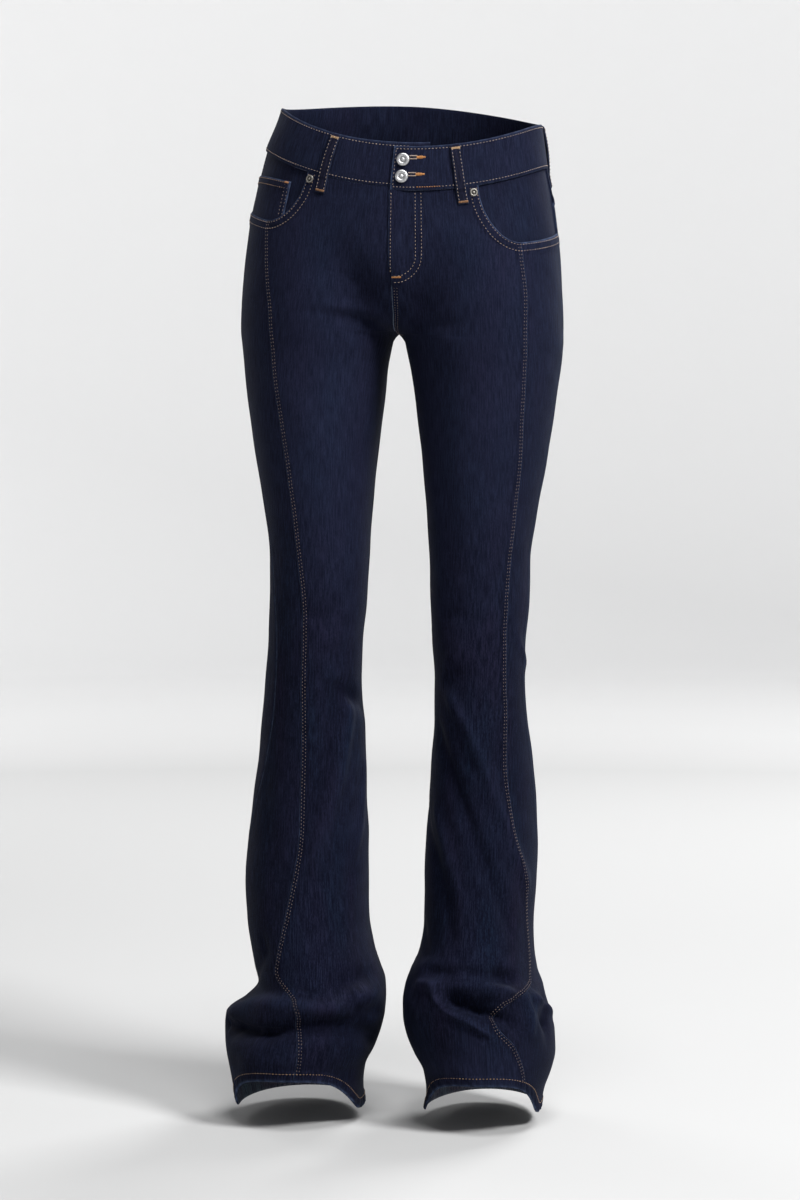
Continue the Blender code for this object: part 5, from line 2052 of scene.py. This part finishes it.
    def loops(self) -> list[Sewing]:
        """Two rows down each loop and a bartack at both ends.

        Returns:
            The sewing.
        """
        waist = self.waist
        rows = Sewing("loops", Thread.BROWN)
        heads = Sewing("loop_heads", Thread.GOLD)
        feet = Sewing("loop_feet", Thread.RUST)
        for turns in waist.loops:
            net = waist.loop_net(turns)
            points = net.at(waist.loop_stand(net) + waist.loop_wall)
            for at in (2, -3):
                rows.row(Drawn(points[:, at], net.normals[:, at]), (3.4 * MM, 3.4 * MM))
            for tacks, line in ((heads, 2), (feet, -3)):
                normals = net.normals[line, 1:-1]
                tacks.tack(Drawn(points[line, 1:-1] - normals * 0.2 * MM, normals), 2.6 * MM)
        return [rows, heads, feet]

    def coin(self) -> list[Sewing]:
        """Double rows along the coin pocket's top and inner side, and its bartack.

        Returns:
            The sewing.
        """
        place, lining = self.form.half(Side.RIGHT), self.lining
        top = Track(place, *lining.coin_top(np.linspace(0, 1, 60)))
        foot = float(lining.mouth_row(Side.RIGHT, np.array([lining.coin_inner]))[0])
        ends = np.array((lining.coin_tops[0], foot)) - 1 * MM
        side = Track(place, lining.coin_inner, np.linspace(*ends, 30))
        lift = self.cut.patch_wall - self.cut.wall + 0.5 * MM
        tracks = [top.aside(k * MM, lift) for k in (2.0, 8.0)]
        sewing = self.rows_beside("coin_pocket", Thread.GOLD, tracks, (1.0 * MM, 0.0))
        tracks = [side.aside(-k * MM, lift) for k in (2.0, 7.0)]
        edge = self.rows_beside("coin_pocket_side", Thread.COPPER, tracks, (1.0 * MM, 0.0))
        tack = Sewing("coin_tack", Thread.ORANGE)
        corner = top.aside(1.6 * MM, lift + 0.2 * MM)
        tack.tack(Track(place, corner.turn[1:5], corner.row[1:5], corner.lift), 2.2 * MM)
        return [sewing, edge, tack]

    def seat_rows(self, side: Side) -> list[Sewing]:
        """Rows above the yoke's seam, down the centre back and round the patch pocket.

        Args:
            side: the wearer's side.

        Returns:
            The sewing.
        """
        place, cut, seat = self.form.half(side), self.cut, self.seat[side]
        share = np.linspace(0.01, 0.99, 90)
        near = self.form.side_seam(side, np.full(90, seat.yoke_side))
        turn = near + (1 - near) * share
        yoke = Track(place, turn, seat.yoke_side + (seat.yoke_back - seat.yoke_side) * share)
        tracks = [yoke.aside(k * MM * side.value, cut.felled) for k in (2.2, 6.4)]
        if side is Side.LEFT:
            centre = Track(place, 1.0, np.linspace(-0.050, -0.234, 70))
            tracks += [centre.aside(-k * MM, cut.felled) for k in (2.2, 6.4)]
        sewing = self.rows_beside("seat_" + side.word, Thread.COPPER, tracks)
        pocket = Sewing("back_pocket_" + side.word, Thread.COPPER)
        base = seat.pocket_gap + cut.patch_wall + 0.45 * MM
        fine = np.linspace(0, 1, 60)
        for inset in (2.2, 7.5):
            edge, low = inset * MM / self.pocket_width, inset * MM / self.pocket_depth
            grid_turn, grid_row = seat.pocket_grid(np.linspace(edge, 1 - edge, 61), fine * (1 - low))
            for line in ((slice(None), 0), (slice(None), -1), (-1, slice(None))):
                pocket.row(Track(place, grid_turn[line], grid_row[line], base))
        grid_turn, grid_row = seat.pocket_grid(np.linspace(0.015, 0.985, 60), np.array((0.02, 0.1)))
        for line in (0, 1):
            pocket.row(Track(place, grid_turn[line], grid_row[line], base + 0.2 * MM))
        return [sewing, pocket]

    def dress(self, finishes: dict) -> None:
        """Sew everything.

        Args:
            finishes: material of each thread.
        """
        work = self.fly() + self.band() + self.loops() + self.coin()
        for side in Side:
            work += self.long_seams(side) + self.hems(side) + self.mouths(side) + self.seat_rows(side)
        for sewing in work:
            sewing.build(finishes[sewing.thread])


# ---- buttons and rivets

@dataclass
class Hardware:
    """Shank buttons on the band's upper end and rivets at the pockets' upper corners."""

    form: WornForm
    waist: Waist
    button_turn: float = 0.019
    button_rows: tuple = (-0.0145, -0.0325)
    rivet_turns: dict = field(default_factory=lambda: {Side.RIGHT: 0.185, Side.LEFT: 0.171})
    rivet_row: float = -0.055
    button_gap: float = 0.3 * MM
    rivet_lift: float = 1.0 * MM
    button_profile: tuple = (
        (0, 3.3, 0), (1.0, 3.26, 0), (1.5, 3.1, 0.1), (1.75, 2.75, 0.7), (2.1, 2.62, 0.9), (2.9, 2.62, 0.75),
        (3.5, 2.68, 0.7), (3.8, 2.95, 0.35), (4.1, 3.12, 0.1), (4.9, 3.2, 0.1), (5.6, 3.16, 0.15),
        (6.2, 2.95, 0.25), (6.7, 2.55, 0.4), (6.95, 2.2, 0.6), (7.0, 1.95, 0.8), (6.9, 1.6, 0.9), (6.4, 1.35),
        (5.0, 1.25), (3.4, 1.2), (3.1, 1.0), (3.0, 0.5), (3.0, 0), (0, 0),
    )
    rivet_profile: tuple = (
        (0, 1.85, 0), (0.7, 1.82, 0), (1.1, 1.65, 0.2), (1.5, 1.2, 0.9), (1.9, 0.95, 1), (2.5, 0.95, 0.9),
        (2.8, 1.2, 0.4), (3.2, 1.4, 0.1), (3.7, 1.38, 0.15), (4.1, 1.15, 0.3), (4.4, 0.8, 0.6),
        (4.5, 0.45, 0.8), (4.5, 0), (0, 0),
    )

    def dress(self, silver: Material, nickel: Material) -> None:
        """Make the two buttons and the two rivets.

        Args:
            silver: the buttons' metal.
            nickel: the rivets' metal.
        """
        lift = self.waist.proud + self.waist.over_lift + self.button_gap
        for node, row in zip(("button_upper", "button_lower"), self.button_rows):
            point, axis = self.form.waist(np.array([self.button_turn]), np.array([row]))
            Turned(node, Slot.SILVER, self.button_profile).build(point[0] + axis[0] * lift, axis[0], silver)
        for side in Side:
            turn, row = np.array([self.rivet_turns[side]]), np.array([self.rivet_row])
            point, axis = self.form.place(side, turn, row)
            rivet = Turned("rivet_" + side.word, Slot.NICKEL, self.rivet_profile)
            rivet.build(point[0] + axis[0] * self.rivet_lift, axis[0], nickel)


# ---- studio

@dataclass
class Studio:
    """A round pale cove with soft area lights and the camera.

    lamps: name, place, side in metres, watts and, where it isn't the jeans' middle, what it points at.
    """

    floor: float = -1.108
    flat_radius: float = 6.0
    wall_radius: float = 8.5
    wall_height: float = 3.2
    floor_rings: tuple = (0.6, 2.0, 4.0)
    bend_steps: int = 16
    segments: int = 96
    turn: float = math.radians(7.0)
    pitch: float = math.radians(3.6)
    reach: float = 4.0
    aside: float = -12.7 * MM
    height: float = -0.532
    lens: float = 108.6
    sensor: float = 36.0
    sky: tuple = (0.94, 0.96, 1.0, 1)
    sky_strength: float = 0.12
    lamps: tuple = (
        ("key", (3.3, -2.3, 3.0), 1.3, 420), ("top", (0.4, -1.5, 3.5), 1.4, 130),
        ("fill", (-3.2, -2.4, 0.8), 2.4, 4), ("back", (1.6, 3.4, 2.3), 1.8, 200),
        ("back_left", (-2.8, 2.8, 1.3), 1.8, 45),
        ("wall_left", (-3.4, 3.0, 0.9), 2.6, 74, (-2.0, 8.0, -1.0)),
        ("wall_right", (3.4, 3.0, 0.9), 2.6, 80, (2.0, 8.0, -1.0)),
        ("side_wall_left", (-3.0, 3.4, 0.9), 2.6, 70, (-8.2, 1.0, -1.0)),
        ("side_wall_right", (3.0, -3.4, 0.9), 2.6, 58, (8.2, -1.0, -1.0)),
        ("near_wall_left", (-3.4, -3.0, 0.9), 2.6, 48, (-2.0, -8.0, -1.0)),
        ("near_wall_right", (3.4, -3.0, 0.9), 2.6, 48, (2.0, -8.0, -1.0)),
    )

    def cove(self, finish: Material) -> None:
        """Floor that curves up into a round wall: radius and height from a quarter circle's sine and cosine.

        Args:
            finish: the paint.
        """
        n, bend = self.segments, self.wall_radius - self.flat_radius
        a = np.linspace(0, math.pi / 2, self.bend_steps)
        radius = np.concatenate((self.floor_rings, self.flat_radius + bend * np.sin(a), [self.wall_radius]))
        rise = np.concatenate((np.zeros(len(self.floor_rings)), bend * (1 - np.cos(a)), [self.wall_height]))
        round_it = np.linspace(0, 2 * np.pi, n, endpoint=False)
        ring = np.stack((np.cos(round_it), np.sin(round_it)), -1)
        height = np.broadcast_to(rise[:, None, None] + self.floor, (len(radius), n, 1))
        walls = np.concatenate((radius[:, None, None] * ring[None], height), -1).reshape(-1, 3)
        corners = np.concatenate((walls, [(0, 0, self.floor)]))
        faces = ring_quads(len(radius), n).tolist() + fan(len(walls), n).tolist()
        mesh = plain_mesh("cove", corners, faces, finish)
        cove = bpy.data.objects.new("cove", mesh)
        bpy.context.scene.collection.objects.link(cove)

    def light(self, name: str, place: tuple, size: float, power: float, aim: tuple = (0, 0, -0.5)) -> None:
        """A square area light.

        Args:
            name: its name.
            place: where it hangs.
            size: its side in metres.
            power: watts.
            aim: what it points at.
        """
        data = bpy.data.lights.new(name, "AREA")
        data.size = size
        data.energy = power
        lamp = bpy.data.objects.new(name, data)
        lamp.location = place
        lamp.rotation_euler = (Vector(place) - Vector(aim)).to_track_quat("Z", "Y").to_euler()
        bpy.context.scene.collection.objects.link(lamp)

    def camera(self) -> None:
        """Camera at the viewing angle, with the frame's middle beside the body's axis."""
        sine, cosine, level = math.sin(self.turn), math.cos(self.turn), math.cos(self.pitch)
        right = Vector((cosine, sine, 0))
        back = Vector((sine * level, -cosine * level, math.sin(self.pitch)))
        data = bpy.data.cameras.new("camera")
        data.sensor_width = self.sensor
        data.lens = self.lens
        eye = bpy.data.objects.new("camera", data)
        eye.location = right * self.aside + Vector((0, 0, self.height)) + back * self.reach
        eye.rotation_euler = back.to_track_quat("Z", "Y").to_euler()
        bpy.context.scene.collection.objects.link(eye)
        bpy.context.scene.camera = eye

    def build(self, paint: Material) -> None:
        """Cove, lights, world and camera.

        Args:
            paint: the cove's finish.
        """
        self.cove(paint)
        for lamp in self.lamps:
            self.light(*lamp)
        world = bpy.data.worlds.new("studio")
        world.use_nodes = True
        for socket, value in zip(world.node_tree.nodes["Background"].inputs, (self.sky, self.sky_strength)):
            socket.default_value = value
        bpy.context.scene.world = world
        bpy.context.scene.view_settings.view_transform = "Standard"
        self.camera()


def corners(box: tuple) -> list[list[float]]:
    """A box's lowest and highest corner as plain lists."""
    return [list(map(float, corner)) for corner in box]


def main() -> None:
    """Build each sub-assembly in order."""
    logging.basicConfig(level=logging.INFO, format="%(name)s: %(message)s")
    form, cut = WornForm(), Cut()
    denim = Denim("indigo_denim", (0.0011, 0.0015, 0.0060), (0.0072, 0.0092, 0.0225)).material()
    panel = Denim("side_panel_denim", (0.0010, 0.0015, 0.0058), (0.0068, 0.0090, 0.0220)).material()
    trim = Denim("trim_denim", (0.0012, 0.0016, 0.0062), (0.0076, 0.0098, 0.0235)).material()
    loops = Denim("loop_denim", (0.0013, 0.0012, 0.0034), (0.0080, 0.0078, 0.0160)).material()
    facing = Denim("facing_denim", (0.0010, 0.0014, 0.0052), (0.0062, 0.0080, 0.0200)).material()
    reverse = Denim(
        "reverse_denim", (0.060, 0.070, 0.105), (0.21, 0.235, 0.29), worn=(0.30, 0.33, 0.40),
        slub=0.8, rib=1.4,
    ).material()
    waist, lining = Waist(form, cut), PocketLining(form, cut)
    seat = {side: SeatPieces(form, cut, side) for side in Side}
    waist.dress(trim, loops)
    for side in Side:
        LegPanels(form, cut, side).dress(denim, panel, reverse)
        seat[side].dress(panel, trim, reverse)
    lining.dress(facing, trim, reverse)
    threads = {thread: ThreadFinish(thread).material() for thread in Thread}
    Seamstress(form, cut, waist, lining, seat).dress(threads)
    silver = Metal("silver_metal", (0.60, 0.60, 0.61), (0.14, 0.14, 0.145), 0.34, 0.08).material()
    nickel = Metal("aged_nickel", (0.30, 0.285, 0.26), (0.014, 0.013, 0.012), 0.42, 0.16).material()
    Hardware(form, waist).dress(silver, nickel)
    # The cove's paint holds painted shade near the jeans and painted light towards the wall.
    Studio().build(Plain("cove_paint_with_painted_shade", (0.395, 0.395, 0.395), (0.825, 0.825, 0.825)).material())
    LOG.info("sizes written")


if __name__ == "__main__":
    main()
